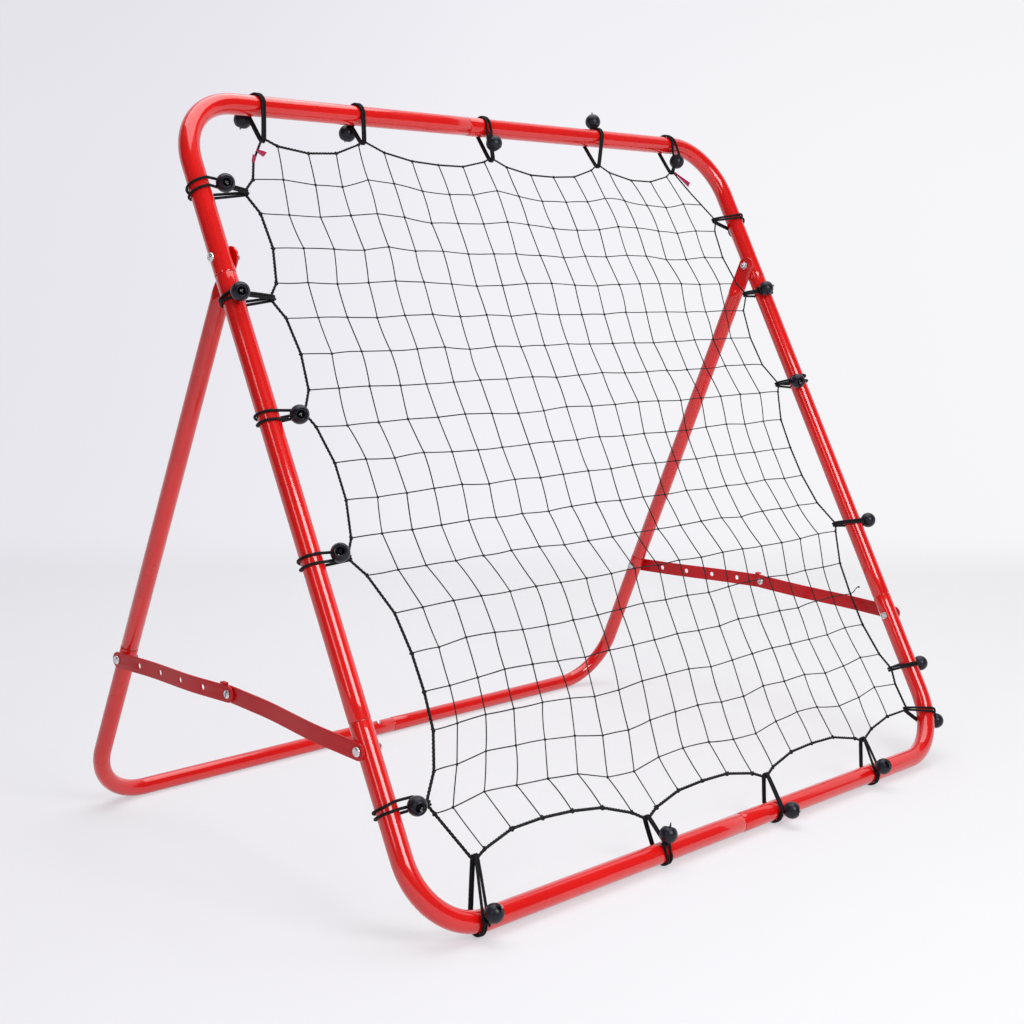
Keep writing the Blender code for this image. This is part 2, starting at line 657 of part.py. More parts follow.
def rivets(side, sign, place, lap_face, rear_lap_face):
    """The rivet's outer half in the rear bar and its inner half in the front bar."""
    radius = RIVET_HEAD_DIAMETER / 2
    shank = BOLT_DIAMETER / 2
    depth = BAR_THICKNESS + GAP
    head = ((0.0, HEAD_HEIGHT), (0.6 * radius, 0.8 * HEAD_HEIGHT), (radius, 0.2 * HEAD_HEIGHT),
            (radius, 0.0), (shank, 0.0), (shank, -depth), (0.0, -depth))
    outer_seat = rear_lap_face + BAR_THICKNESS + GAP
    inner_seat = lap_face - GAP
    turned("strut_rivet_head_" + side, head, ROUND_STEPS, ZINC, ROOT,
           (sign * outer_seat, place.y, place.z), sign)
    turned("strut_rivet_tail_" + side, head, ROUND_STEPS, ZINC, ROOT,
           (sign * inner_seat, place.y, place.z), -sign)


def front_outline():
    """The closed line of the front frame's tube axis, counter-clockwise from the middle of the top bar."""
    corners = [(0.0, FRAME_HEIGHT), (-side_x(FRAME_HEIGHT), FRAME_HEIGHT), (-side_x(0.0), 0.0),
               (side_x(0.0), 0.0), (side_x(FRAME_HEIGHT), FRAME_HEIGHT), (0.0, FRAME_HEIGHT)]
    return bend_path([Vector((x, y, 0.0)) for x, y in corners], FRONT_CORNER_RADIUS)


def nearest_on_tube(point):
    """The nearest place on the front frame's tube axis, and the tube's direction there."""
    best = None
    outline = front_outline()
    for start, end in zip(outline, outline[1:]):
        run = end - start
        if run.length < GAP:
            continue
        share = min(max((point - start).dot(run) / run.length_squared, 0.0), 1.0)
        place = start + run * share
        if best is None or (place - point).length < best[0]:
            best = ((place - point).length, place, run.normalized())
    return best[1], best[2]


def ties():
    """Each bungee's name, its side, its place on the tube, the net's point that it holds and its ball."""
    sides = (("top", TOP_TIES), ("left", LEFT_TIES), ("right", RIGHT_TIES), ("foot", FOOT_TIES))
    made = []
    for side, rows in sides:
        for number, (along, inset, slip, ball_angle, ball_slip) in enumerate(rows, 1):
            if side in ("top", "foot"):
                height = FRAME_HEIGHT if side == "top" else 0.0
                inward = -1.0 if side == "top" else 1.0
                guess = Vector((along, height, 0.0))
                hook = Vector((along + slip, height + inward * inset, 0.0))
            else:
                sign = -1.0 if side == "left" else 1.0
                height = along * FRAME_HEIGHT
                guess = Vector((sign * side_x(height), height, 0.0))
                hook = Vector((sign * (side_x(height) - inset), height + slip, 0.0))
            place, _ = nearest_on_tube(guess)
            made.append((side + "_" + str(number), side, place, hook, ball_angle, ball_slip))
    return made


def net_side(start, end, hooks):
    """The net's border along one side: an equal number of steps, each hook on one, sagging in between."""
    anchors = [Vector((*start, 0.0))] + hooks + [Vector((*end, 0.0))]
    runs = [(second - first).length for first, second in zip(anchors, anchors[1:])]
    total = sum(runs)
    stops = [0]
    for index in range(1, len(anchors) - 1):
        target = round(NET_CELLS * sum(runs[:index]) / total)
        stops.append(max(target, stops[-1] + 1))
    stops.append(NET_CELLS)
    middle = Vector(((NET_FOOT_LEFT[0] + NET_FOOT_RIGHT[0]) / 2, FRAME_HEIGHT / 2, 0.0))
    border = [anchors[0]]
    for first, second, run, begin, finish in zip(anchors, anchors[1:], runs, stops, stops[1:]):
        across = Vector((0.0, 0.0, 1.0)).cross(second - first).normalized()
        if across.dot(middle - first) < 0:
            across = -across
        for step in range(1, finish - begin + 1):
            share = step / (finish - begin)
            sag = SCALLOP_DEPTH * run * 4 * share * (1 - share)
            border.append(first.lerp(second, share) + across * sag)
    return border, stops[1:-1]


def net_borders():
    """The four border lines of the net and where the hooks fall on them."""
    hooks = {side: [hook for _, at, _, hook, _, _ in ties() if at == side]
             for side in ("top", "left", "right", "foot")}
    top, top_stops = net_side(NET_TOP_LEFT, NET_TOP_RIGHT, hooks["top"])
    foot, foot_stops = net_side(NET_FOOT_LEFT, NET_FOOT_RIGHT, hooks["foot"])
    left, left_stops = net_side(NET_FOOT_LEFT, NET_TOP_LEFT, list(reversed(hooks["left"])))
    right, right_stops = net_side(NET_FOOT_RIGHT, NET_TOP_RIGHT, list(reversed(hooks["right"])))
    return top, foot, left, right, top_stops, foot_stops, left_stops, right_stops


def net_knots():
    """The crossings of the net's twine: blended inward from its four borders, then evened out."""
    top, foot, left, right = net_borders()[:4]
    knots = []
    for row in range(NET_CELLS + 1):
        up = row / NET_CELLS
        line = []
        for column in range(NET_CELLS + 1):
            across = column / NET_CELLS
            blend = foot[column].lerp(top[column], up) + left[row].lerp(right[row], across)
            corner = foot[0].lerp(foot[-1], across).lerp(top[0].lerp(top[-1], across), up)
            line.append(blend - corner)
        knots.append(line)
    for _ in range(RELAX_ROUNDS):
        relax(knots)
    return knots


def relax(knots):
    """Move each inner crossing to the middle of its four neighbours, as taut twine would."""
    for row in range(1, NET_CELLS):
        for column in range(1, NET_CELLS):
            around = (knots[row - 1][column] + knots[row + 1][column]
                      + knots[row][column - 1] + knots[row][column + 1])
            knots[row][column] = around / 4


def net():
    """One flat knotted net: strands between crossings, open cells, and a wider border cord."""
    knots = net_knots()
    lines = 2 * (NET_CELLS + 1)
    half = (lines - 1) / 2
    mesh = bpy.data.meshes.new("net")
    work = bmesh.new()
    bmesh.ops.create_grid(work, x_segments=lines - 1, y_segments=lines - 1, size=half)
    for vertex in work.verts:
        column_line = round(vertex.co.x + half)
        row_line = round(vertex.co.y + half)
        vertex.co = strand_corner(knots, column_line, row_line)
    work.faces.ensure_lookup_table()
    cells = []
    for face in work.faces:
        row, column = divmod(face.index, lines - 1)
        if row % 2 == 1 and column % 2 == 1:
            cells.append(face)
    bmesh.ops.delete(work, geom=cells, context="FACES_ONLY")
    work.to_mesh(mesh)
    work.free()
    part = add_part("net", mesh, BLACK_TWINE, FRONT, smooth=False)
    depth = part.modifiers.new("depth", "SOLIDIFY")
    depth.thickness = NET_THICKNESS
    depth.offset = 0.0


def strand_corner(knots, column_line, row_line):
    """A corner of the small square where two strands cross."""
    column, right_side = divmod(column_line, 2)
    row, upper_side = divmod(row_line, 2)
    rim_column = column in (0, NET_CELLS)
    rim_row = row in (0, NET_CELLS)
    half_across = (BORDER_WIDTH if rim_column else TWINE_WIDTH) / 2
    half_up = (BORDER_WIDTH if rim_row else TWINE_WIDTH) / 2
    offset = Vector((half_across * (1 if right_side else -1), half_up * (1 if upper_side else -1), 0.0))
    return knots[row][column] + offset


def belt(centre, hook, tube_reach, hook_reach):
    """A closed loop round the tube and the net's border: two arcs and two straight runs.

    A reach is how far the loop's middle line stays from the axis inside it, even at the middle of a step.
    """
    offset = hook - centre
    inward = offset.normalized()
    front = Vector((0.0, 0.0, 1.0))
    meet = math.acos((tube_reach - hook_reach) / offset.length)
    tube_radius = tube_reach / math.cos((math.pi - meet) / TUBE_ARC_STEPS)
    hook_radius = hook_reach / math.cos(meet / HOOK_ARC_STEPS)
    points = []
    for step in range(TUBE_ARC_STEPS + 1):
        angle = meet + 2 * (math.pi - meet) * step / TUBE_ARC_STEPS
        points.append(centre + (inward * math.cos(angle) + front * math.sin(angle)) * tube_radius)
    for step in range(HOOK_ARC_STEPS + 1):
        angle = -meet + 2 * meet * step / HOOK_ARC_STEPS
        points.append(hook + (inward * math.cos(angle) + front * math.sin(angle)) * hook_radius)
    return points


def hook_points():
    """For each tie, where its cord goes round the net's border, beside a knot, and the border's direction."""
    top, foot, left, right, top_stops, foot_stops, left_stops, right_stops = net_borders()
    knots = net_knots()
    next_lines = {
        "top": knots[NET_CELLS - 1],
        "foot": knots[1],
        "left": [row[1] for row in knots],
        "right": [row[NET_CELLS - 1] for row in knots],
    }
    found = {}
    for side, border, stops in (("top", top, top_stops), ("foot", foot, foot_stops),
                                ("left", left, left_stops), ("right", right, right_stops)):
        names = [name for name, at, _, _, _, _ in ties() if at == side]
        if side in ("left", "right"):
            names.reverse()
        for name, stop in zip(names, stops):
            strand = next_lines[side][stop] - border[stop]
            onward = (border[stop + 1] - border[stop]).normalized()
            backward = (border[stop - 1] - border[stop]).normalized()
            along = onward if strand.angle(onward) > strand.angle(backward) else backward
            found[name] = (border[stop] + along * TIE_STEP, along)
    return found


def bungees():
    """Twenty ball bungees, each a closed cord round the tube and the net's border, with its ball."""
    hooks = hook_points()
    for name, _, place, _, ball_angle, ball_slip in ties():
        hook, border_direction = hooks[name]
        centre, direction = nearest_on_tube(place)
        inward = (hook - centre).normalized()
        across_tube = math.sqrt(1.0 - inward.dot(direction) ** 2)
        across_border = math.sqrt(1.0 - inward.dot(border_direction) ** 2)
        tube_reach = (FRONT_RADIUS + GAP + CORD_RADIUS) / across_tube
        hook_reach = BORDER_WIDTH / 2 + (GAP + CORD_RADIUS) / across_border
        stations = [(point, 1.0) for point in belt(centre, hook, tube_reach, hook_reach)]
        curve = tube_curve("bungee_" + name, stations, CORD_RADIUS, CORD_RESOLUTION, closed=True)
        curve.twist_mode = "MINIMUM"
        part = add_part("bungee_" + name, curve_mesh(curve), BLACK_BUNGEE, FRONT)
        angle = math.radians(ball_angle)
        outward = inward * math.cos(angle) + Vector((0.0, 0.0, 1.0)) * math.sin(angle)
        ball_reach = (FRONT_RADIUS + GAP + BALL_RADIUS) / across_tube
        join(part, ball_solid(part, centre + outward * ball_reach + direction * ball_slip))


def ball_solid(part, place):
    mesh = bpy.data.meshes.new(part.name + "_ball")
    work = bmesh.new()
    bmesh.ops.create_uvsphere(work, u_segments=ROUND_STEPS, v_segments=ROUND_STEPS // 2 + 1,
                              radius=BALL_RADIUS)
    work.to_mesh(mesh)
    work.free()
    ball = bpy.data.objects.new(mesh.name, mesh)
    CUTTERS.objects.link(ball)
    ball.parent = FRONT
    ball.location = place
    ball.hide_render = True
    ball.display_type = "WIRE"
    return ball


def front_slope():
    """The front frame's angle to the floor, from the triangle of the side tube, the leg and the stance."""
    drop = FRONT_AXIS_HEIGHT - REAR_AXIS_HEIGHT
    base = math.hypot(STANCE, drop)
    corner = math.acos((PIVOT_HEIGHT ** 2 + base ** 2 - LEG_LENGTH ** 2) / (2 * PIVOT_HEIGHT * base))
    return corner - math.atan2(drop, STANCE)


def place_frames():
    """Stand the two planes on the floor: both lean as the stance and the lengths to the pivot make them."""
    slope = front_slope()
    FRONT.location = (0.0, 0.0, FRONT_AXIS_HEIGHT)
    FRONT.rotation_euler = (slope, 0.0, 0.0)
    pivot_y = PIVOT_HEIGHT * math.cos(slope)
    pivot_z = FRONT_AXIS_HEIGHT + PIVOT_HEIGHT * math.sin(slope)
    rear_lean = math.atan2(STANCE - pivot_y, pivot_z - REAR_AXIS_HEIGHT)
    REAR.location = (0.0, pivot_y, pivot_z)
    REAR.rotation_euler = (math.radians(90.0) + rear_lean, 0.0, 0.0)
    bpy.context.view_layer.update()


def centre_on_floor():
    """Move the whole object so that the middle of its footprint is at the origin."""
    bpy.context.view_layer.update()
    depsgraph = bpy.context.evaluated_depsgraph_get()
    lows = [math.inf] * 3
    highs = [-math.inf] * 3
    for part in PARTS.objects:
        if part.type != "MESH":
            continue
        evaluated = part.evaluated_get(depsgraph)
        for vertex in evaluated.data.vertices:
            spot = evaluated.matrix_world @ vertex.co
            for axis in range(3):
                lows[axis] = min(lows[axis], spot[axis])
                highs[axis] = max(highs[axis], spot[axis])
    ROOT.location = (-(lows[0] + highs[0]) / 2, -(lows[1] + highs[1]) / 2, -lows[2])
    bpy.context.view_layer.update()


clear_scene()
PARTS = new_collection("rebound_net")
CUTTERS = new_collection("cutters")
ROOT = add_empty("rebounder_origin")
FRONT = add_empty("front_plane", ROOT)
REAR = add_empty("rear_plane", ROOT)
place_frames()
front_frame_tubes()
rear_frame_tubes()
rear_snap_button()
pivot_hardware()
struts()
net()
bungees()
centre_on_floor()
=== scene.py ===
"""Looks of a soccer rebound net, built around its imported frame.

Lengths are in metres. The front frame and the net are drawn in the front plane: x across, y up the frame,
z towards the ball. The rear frame is drawn in the rear plane, with its origin on the line of the pivots.
"""

import contextlib
import math

import bmesh
import bpy
import numpy as np
from mathutils import Matrix, Vector


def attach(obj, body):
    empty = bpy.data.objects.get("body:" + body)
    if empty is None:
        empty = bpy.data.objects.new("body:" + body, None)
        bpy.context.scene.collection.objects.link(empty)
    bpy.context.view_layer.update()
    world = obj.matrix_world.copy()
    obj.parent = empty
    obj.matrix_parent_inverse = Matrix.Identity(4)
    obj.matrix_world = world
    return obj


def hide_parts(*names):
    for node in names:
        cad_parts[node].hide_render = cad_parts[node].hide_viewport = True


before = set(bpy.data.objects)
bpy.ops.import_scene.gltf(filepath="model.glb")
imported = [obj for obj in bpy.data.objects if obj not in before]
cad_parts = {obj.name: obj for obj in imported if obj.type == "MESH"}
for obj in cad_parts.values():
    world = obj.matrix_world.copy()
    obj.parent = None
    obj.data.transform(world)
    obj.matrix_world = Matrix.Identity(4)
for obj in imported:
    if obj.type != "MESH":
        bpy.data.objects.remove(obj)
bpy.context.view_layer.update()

SIDES = (("left", -1.0), ("right", 1.0))
ACROSS = np.array((1.0, 0.0, 0.0))
UPWARD = np.array((0.0, 1.0, 0.0))
FORWARD = np.array((0.0, 0.0, 1.0))
GAP = 0.0003

# The two planes
FRONT_ORIGIN = (-0.0085, -0.319829, 0.017)
FRONT_TURN = math.radians(63.0)
REAR_ORIGIN = (-0.0085, 0.033376, 0.710203)
REAR_TURN = math.radians(113.952322)

# Front frame, between tube axes
FRAME_HEIGHT = 0.980
TOP_WIDTH = 0.984
FOOT_WIDTH = 1.016
FRONT_CORNER_RADIUS = 0.085
FRONT_RADIUS = 0.0125
UPPER_SEAM = 0.756
LOWER_SEAM = 0.235
TOP_BAR_SEAM = -0.029
FOOT_BAR_SEAM = 0.020
PIVOT_HEIGHT = 0.778
STRUT_FRONT_HEIGHT = 0.2055

# Rear frame, between tube axes
LEG_LENGTH = 0.7655
REAR_TOP_WIDTH = 0.961996
REAR_FOOT_WIDTH = 0.9916
REAR_CORNER_RADIUS = 0.080
REAR_RADIUS = 0.011
REAR_LEG_SEAM = 0.240
REAR_BAR_SEAM = 0.026
STRUT_REAR_HEIGHT = 0.2225
BUTTON_INSET = 0.029
BUTTON_PLACE = Vector((REAR_BAR_SEAM - BUTTON_INSET, REAR_RADIUS - LEG_LENGTH, 0.0))
BUTTON_HOLE_RADIUS = 0.0041

# Tube ends
TUBE_WALL = 0.0012
SPIGOT_LENGTH = 0.050
SPIGOT_CLEARANCE = 0.0005
SEAM_GAP = 0.0005
LIP = 0.0006
TUBE_SIDES = 48
TUBE_STEP = 0.05
BEND_STEPS = 28
DRILL_LENGTH = 0.05

# Flattened top of each rear leg
TAB_THICKNESS = 0.003
TAB_RADIUS = 0.013
TAB_FLAT = 0.022
TAB_BLEND = 0.030
TAB_BLEND_STEPS = 24
TAB_DIMPLE = 0.35
TAB_DIMPLE_SPREAD = 2.2
TAB_END = 0.1 * TAB_RADIUS
LEG_BORE_START = 0.005

# Folding struts
BAR_WIDTH = 0.020
BAR_THICKNESS = 0.0025
BAR_EDGE = 0.0005
BAR_ARC_STEPS = 28
STRUT_FRONT_LENGTH = 0.237
STRUT_REAR_LENGTH = 0.243954
HOLE_PITCH = 0.04879
HOLE_COUNT = 6
HOLE_RADIUS = 0.0035
JOGGLE_START = 0.055
JOGGLE_STEPS = 14
STRUT_FRONT_PLACE = (-0.226534, 0.200102)
STRUT_RIVET_PLACE = (0.009882, 0.216729)
STRUT_REAR_PLACE = (0.253821, 0.213964)
FRONT_BAR_FACE = 0.51745
FRONT_BAR_LAP = 0.50872
REAR_BAR_FACE = 0.50279
REAR_BAR_LAP = 0.51152
EAR_LENGTH = 0.007
EAR_AHEAD = 0.008
EAR_REACH = 0.0073
EAR_HEIGHT = 0.0128
EAR_SHEET = 0.0022
EAR_EDGE = 0.0004
EAR_OVERLAP = 0.002
EAR_LIFT = 0.00015

# Fasteners; the profiles are (place on the axis, radius) in millimetres
PIVOT_SLACK = 0.0039
STRUT_SLACK = 0.0034
PIVOT_BOLT_REACH = 0.0088
STRUT_BOLT_REACH = 0.0020
THREAD_INSIDE = 0.004
BOLT_HEAD = ((2.8, 0.0), (2.3, 0.0), (2.3, 1.25), (2.75, 1.45), (2.8, 2.0), (2.6, 2.5), (2.15, 2.75),
             (2.15, 3.0), (2.45, 3.25), (2.35, 4.1), (1.9, 4.9), (1.2, 5.35), (0.5, 5.5), (0.1, 5.45),
             (0.0, 5.2), (0.0, 3.0))
THREAD_TURN = ((0.1, 3.0), (0.5, 2.6), (0.9, 3.0))
BOLT_TIP = ((0.4, 2.9), (0.0, 2.4), (0.0, 0.0))
RING_NUT = ((0.0, 3.1), (0.0, 4.9), (-0.3, 5.2), (-1.8, 5.2), (-2.3, 4.95), (-2.6, 4.4), (-2.6, 3.5),
            (-2.3, 3.1))
NUT_APOTHEM = 5.0
NUT_SIDES = 72
NUT = ((0.0, 3.3), (0.0, 4.9), (-0.5, 9.0), (-3.8, 9.0), (-4.3, 4.95), (-4.3, 4.6), (-5.0, 4.3), (-5.0, 3.3))
LOCK_RING = ((-3.8, 3.4), (-4.8, 3.4), (-4.8, 3.0), (-3.8, 3.0))
RIVET = ((-2.8, 0.0), (-2.8, 3.0), (0.0, 3.0), (0.0, 4.9), (0.6, 5.0), (1.2, 4.7), (1.8, 3.8), (2.1, 3.0),
         (1.9, 2.3), (1.0, 1.9), (0.0, 1.7), (0.0, 0.0))
BUTTON = ((2.5, 0.0), (2.4, 1.0), (2.0, 2.0), (1.2, 2.9), (0.2, 3.4), (-1.0, 3.5), (-3.6, 3.5), (-3.6, 0.0))

# Net
CELLS = 19
TWINE_RADIUS = 0.00072
TWINE_STEP = 0.0060
TWINE_UNEVENNESS = 0.08
TWINE_KNOT_SIZE = 0.00140
TWINE_KNOT_RADIUS = 0.00062
ROPE_PLIES = 3
ROPE_PITCH = 0.014
ROPE_STEPS = 12
ROPE_LAY = 1.12
ROPE_KNOT_SIZE = 2.7
ROPE_KNOT_RADIUS = 1.15
EDGE_FADE = 7
SAG_POWER = 3
SAG_STEPS = 24
KNOT_DRIFT = np.array((0.0009, 0.0009, 0.0010))
STRING_BOW = np.array((0.0003, 0.0003, 0.0006))
NET_MIDDLE = np.array((0.0, FRAME_HEIGHT / 2, 0.0))
NET_TOP_LEFT = (-0.405, 0.905)
NET_TOP_RIGHT = (0.410, 0.900)
NET_FOOT_LEFT = (-0.412, 0.0585)
NET_FOOT_RIGHT = (0.456, 0.066)

# Rows of the net, counted up from its foot, and their heights; the rows between are evenly spaced
ROW_MARKS = ((0, 0.0600), (1, 0.1056), (7, 0.3905), (18, 0.8800), (19, 0.9245))
LEFT_ROW_LIFTS = (0.0, 0.016, 0.012, 0.007, 0.003)

# The edge rope's strand radius by the angle about the net's middle, anticlockwise from the left
ROPE_SIZES = ((-180.0, 0.00074), (-160.0, 0.00082), (-125.0, 0.00098), (-80.0, 0.00096), (-50.0, 0.00084),
              (-25.0, 0.00068), (20.0, 0.00056), (45.0, 0.00056), (110.0, 0.00062), (140.0, 0.00084),
              (180.0, 0.00074))

# The rope's cut end: the row that it leaves on the right, its line from the knot and its melted bead
LOOSE_END_ROW = 4
LOOSE_END_RADIUS = 0.0007
LOOSE_END = ((0.0, 0.0, 0.0), (0.004, 0.001, 0.003), (0.010, 0.005, 0.006), (0.017, 0.007, 0.006),
             (0.021, 0.006, 0.004))
BEAD_RADIUS = 0.0013

# Bungees
CORD_RADIUS = 0.00165
CORD_SIDES = 12
CORD_STEP = 0.0011
WRAP = FRONT_RADIUS + GAP + CORD_RADIUS
WIND_STEP = 0.25
LEAST_WIND = 0.12
HOOK_REACH = 0.0038
PAIR_GAP = 1.03 * CORD_RADIUS
HOOK_GAP = 1.05 * CORD_RADIUS
HOOK_SHARE = 0.25
SIDE_START_SPREAD = 0.0025
LEFT_BACK_DROP = 0.002
LOOP_HALF = 0.0050
NECK_POINTS = ((1.0, -0.0006), (0.85, 0.0020), (0.42, 0.0034))
ROOTS_BEHIND = ("foot_1", "foot_3", "foot_4")
BALL_RADIUS = 0.011
BALL_SIDES = 44
BALL_STEPS = 25
BALL_RIM = math.asin(0.64)
BALL_BASE = math.pi - math.asin(0.30)

# The ball's bore and dished mouth, as shares of its radius: place towards the mouth, and radius
BALL_BORE = ((-0.90, 0.27), (-0.2, 0.27), (0.02, 0.29), (0.08, 0.40), (0.52, 0.42), (0.58, 0.44),
             (0.60, 0.48), (0.62, 0.56), (0.70, 0.60), (0.745, 0.62))
MOUTH_PLACE = BALL_BORE[-1][0]

# Ties: place along the tube, the net's hook (along, inset from the axis), ball angle round the tube
# (0 towards the net, 90 to the front, minus to the back), ball slip along the tube, ball distance from
# the axis, strand spread on the tube, and the way the ball's open mouth faces, or None for outward
CAMERA_FACING = (-0.35, -0.30, 0.85)
TIE_ROWS = {
    "top": (
        (-0.3720, -0.3810, 0.0427, -84.8, -0.0055, 0.0273, 0.0021, (0.0, -0.60, -0.80)),
        (-0.2190, -0.2230, 0.0353, -67.3, -0.0002, 0.0273, 0.0021, (0.0, -0.60, -0.80)),
        (0.0050, -0.0010, 0.0458, 12.8, 0.0032, 0.0273, 0.0017, (0.5, -0.60, -0.20)),
        (0.2206, 0.2163, 0.0424, 176.7, 0.0183, 0.0273, 0.0021, (0.25, 0.97, 0.0)),
        (0.3908, 0.3843, 0.0433, 2.5, 0.0133, 0.0273, 0.0017, (0.6, -0.20, -0.60)),
    ),
    "left": (
        (0.8620, 0.8620, 0.0600, 39.6, 0.0007, 0.0294, 0.0050, CAMERA_FACING),
        (0.7270, 0.7270, 0.0510, 107.0, -0.0040, 0.0273, 0.0020, CAMERA_FACING),
        (0.5840, 0.5855, 0.0505, 39.6, -0.0072, 0.0332, 0.0050, CAMERA_FACING),
        (0.4160, 0.4130, 0.0487, 39.6, -0.0005, 0.0318, 0.0050, (-0.62, 0.10, 0.75)),
        (0.1386, 0.1340, 0.0535, 39.6, -0.0049, 0.0315, 0.0034, (-0.30, -0.55, 0.78)),
    ),
    "right": (
        (0.8567, 0.8545, 0.0470, -138.0, -0.0090, 0.0273, 0.0040, None),
        (0.7365, 0.7300, 0.0421, 50.0, -0.0070, 0.0273, 0.0035, (0.78, 0.10, 0.50)),
        (0.5819, 0.5807, 0.0492, 35.1, -0.0042, 0.0273, 0.0040, (-0.30, -0.45, 0.80)),
        (0.3547, 0.3540, 0.0431, 157.8, -0.0061, 0.0273, 0.0040, None),
        (0.1289, 0.1280, 0.0460, 176.4, -0.0057, 0.0273, 0.0021, None),
        (0.0520, 0.0660, 0.0470, -175.4, -0.0083, 0.0273, 0.0035, (0.95, -0.25, 0.15)),
    ),
    "foot": (
        (-0.4289, -0.4120, 0.0615, 83.3, -0.0037, 0.0273, 0.0024, (0.41, 0.38, 0.83)),
        (-0.1245, -0.1350, 0.0417, 49.9, -0.0072, 0.0273, 0.0024, (0.25, 0.85, 0.45)),
        (0.1091, 0.1025, 0.0419, 105.3, -0.0126, 0.0273, 0.0024, (0.43, -0.37, 0.83)),
        (0.3247, 0.3305, 0.0443, 82.5, -0.0079, 0.0273, 0.0024, None),
    ),
}

# How far the net's edge sags inward between neighbouring hooks, corner to corner
TOP_SAGS = (0.0, 0.020, 0.022, 0.025, 0.023, 0.0)
LEFT_SAGS = (0.0, 0.046, 0.022, 0.020, 0.022, 0.006)
RIGHT_SAGS = (0.0, 0.005, 0.030, 0.035, 0.029, 0.021, 0.0)
FOOT_SAGS = (0.0, 0.029, 0.022, 0.021, 0.008)

# The first and last gaps between strings along the top and the foot
TOP_ENDS = (0.062, 0.066)
FOOT_ENDS = (0.023, 0.049)

# Knot ends that show in or stick out of a ball's mouth: length past the mouth, and how frayed they are
HIDDEN_TAIL = (-0.005, 0.0)
TAILS = {"top_1": (0.004, 0.2), "top_2": (0.003, 0.2), "top_4": (0.0075, 0.3), "left_1": (-0.003, 1.0),
         "left_2": (-0.003, 1.0), "left_3": (-0.003, 1.0), "left_4": (-0.004, 0.5), "left_5": (0.001, 1.0),
         "right_2": (0.004, 1.0), "right_3": (-0.003, 1.0), "right_4": (0.006, 0.3), "right_6": (0.007, 0.3),
         "foot_1": (0.003, 1.0), "foot_2": (0.006, 0.3), "foot_3": (0.002, 1.0)}

# Ribbon ends left on the net's edge: points that a strip follows in the front plane, and its widths
RIBBON_HALF_THICKNESS = 0.00012
RIBBON_CURL = 0.0012
RIBBONS = (
    (((-0.3969, 0.9192, 0.0010), (-0.3949, 0.9147, 0.0035), (-0.3909, 0.9097, 0.0060)),
     (0.0030, 0.0085, 0.0105)),
    (((-0.4037, 0.9122, 0.0020), (-0.4067, 0.9062, 0.0035), (-0.4102, 0.9007, 0.0035)),
     (0.0035, 0.0050, 0.0040)),
    (((0.3865, 0.9320, 0.0016), (0.3940, 0.9245, 0.0022), (0.4020, 0.9165, 0.0030),
      (0.4080, 0.9105, 0.0036)),
     (0.0030, 0.0050, 0.0085, 0.0115)),
)

# Camera and lights
CAMERA_PLACE = Vector((-1.5997, -1.5045, 0.6908))
CAMERA_AIM = Vector((0.7057, 0.6943, -0.1415)).normalized()
CAMERA_ROLL = math.radians(0.38)
CAMERA_LENS = 57.83
SENSOR_WIDTH = 36.0
ROOM_COLOUR = (0.96, 0.95, 1.0, 1.0)
ROOM_STRENGTH = 0.10

# Softboxes: place, aim, upward direction, width, height and power in watts
SOFTBOXES = {
    "left_strip": ((-2.5, -0.92, 1.28), (-0.5, -0.1, 0.45), (0.24, 0.91, 1.53), 0.50, 1.35, 6.0),
    "key_softbox": ((-0.37, -2.26, 1.63), (-0.1, -0.1, 0.45), (0.0, 0.0, 1.0), 1.20, 1.2, 40.0),
    "overhead_softbox": ((0.42, 0.42, 4.2), (0.35, 0.35, 0.0), (0.0, 1.0, 0.0), 4.5, 4.5, 165.0),
}

# Paper backdrop, measured from the frame's middle: away from the camera, and sideways
WALL_PLACE = 3.6
WALL_CURVE = 1.6
WALL_CURVE_STEPS = 18
WALL_HEIGHT = 6.0
WALL_WIDTH = 18.0
FLOOR_FRONT = -18.0

# Where the paper glows plainly: behind the frame, all round far off, and least of all under the frame; and
# the spans over which painted shade darkens its glow towards the left and upward
PLAIN_BEHIND = (0.9, 2.3)
PLAIN_AROUND = (1.9, 3.2)
LEAST_PLAIN = 0.55
SIDEWAYS_PAINTED_SHADE = (-1.9, 1.9)
UPWARD_PAINTED_SHADE = (0.9, 2.6)


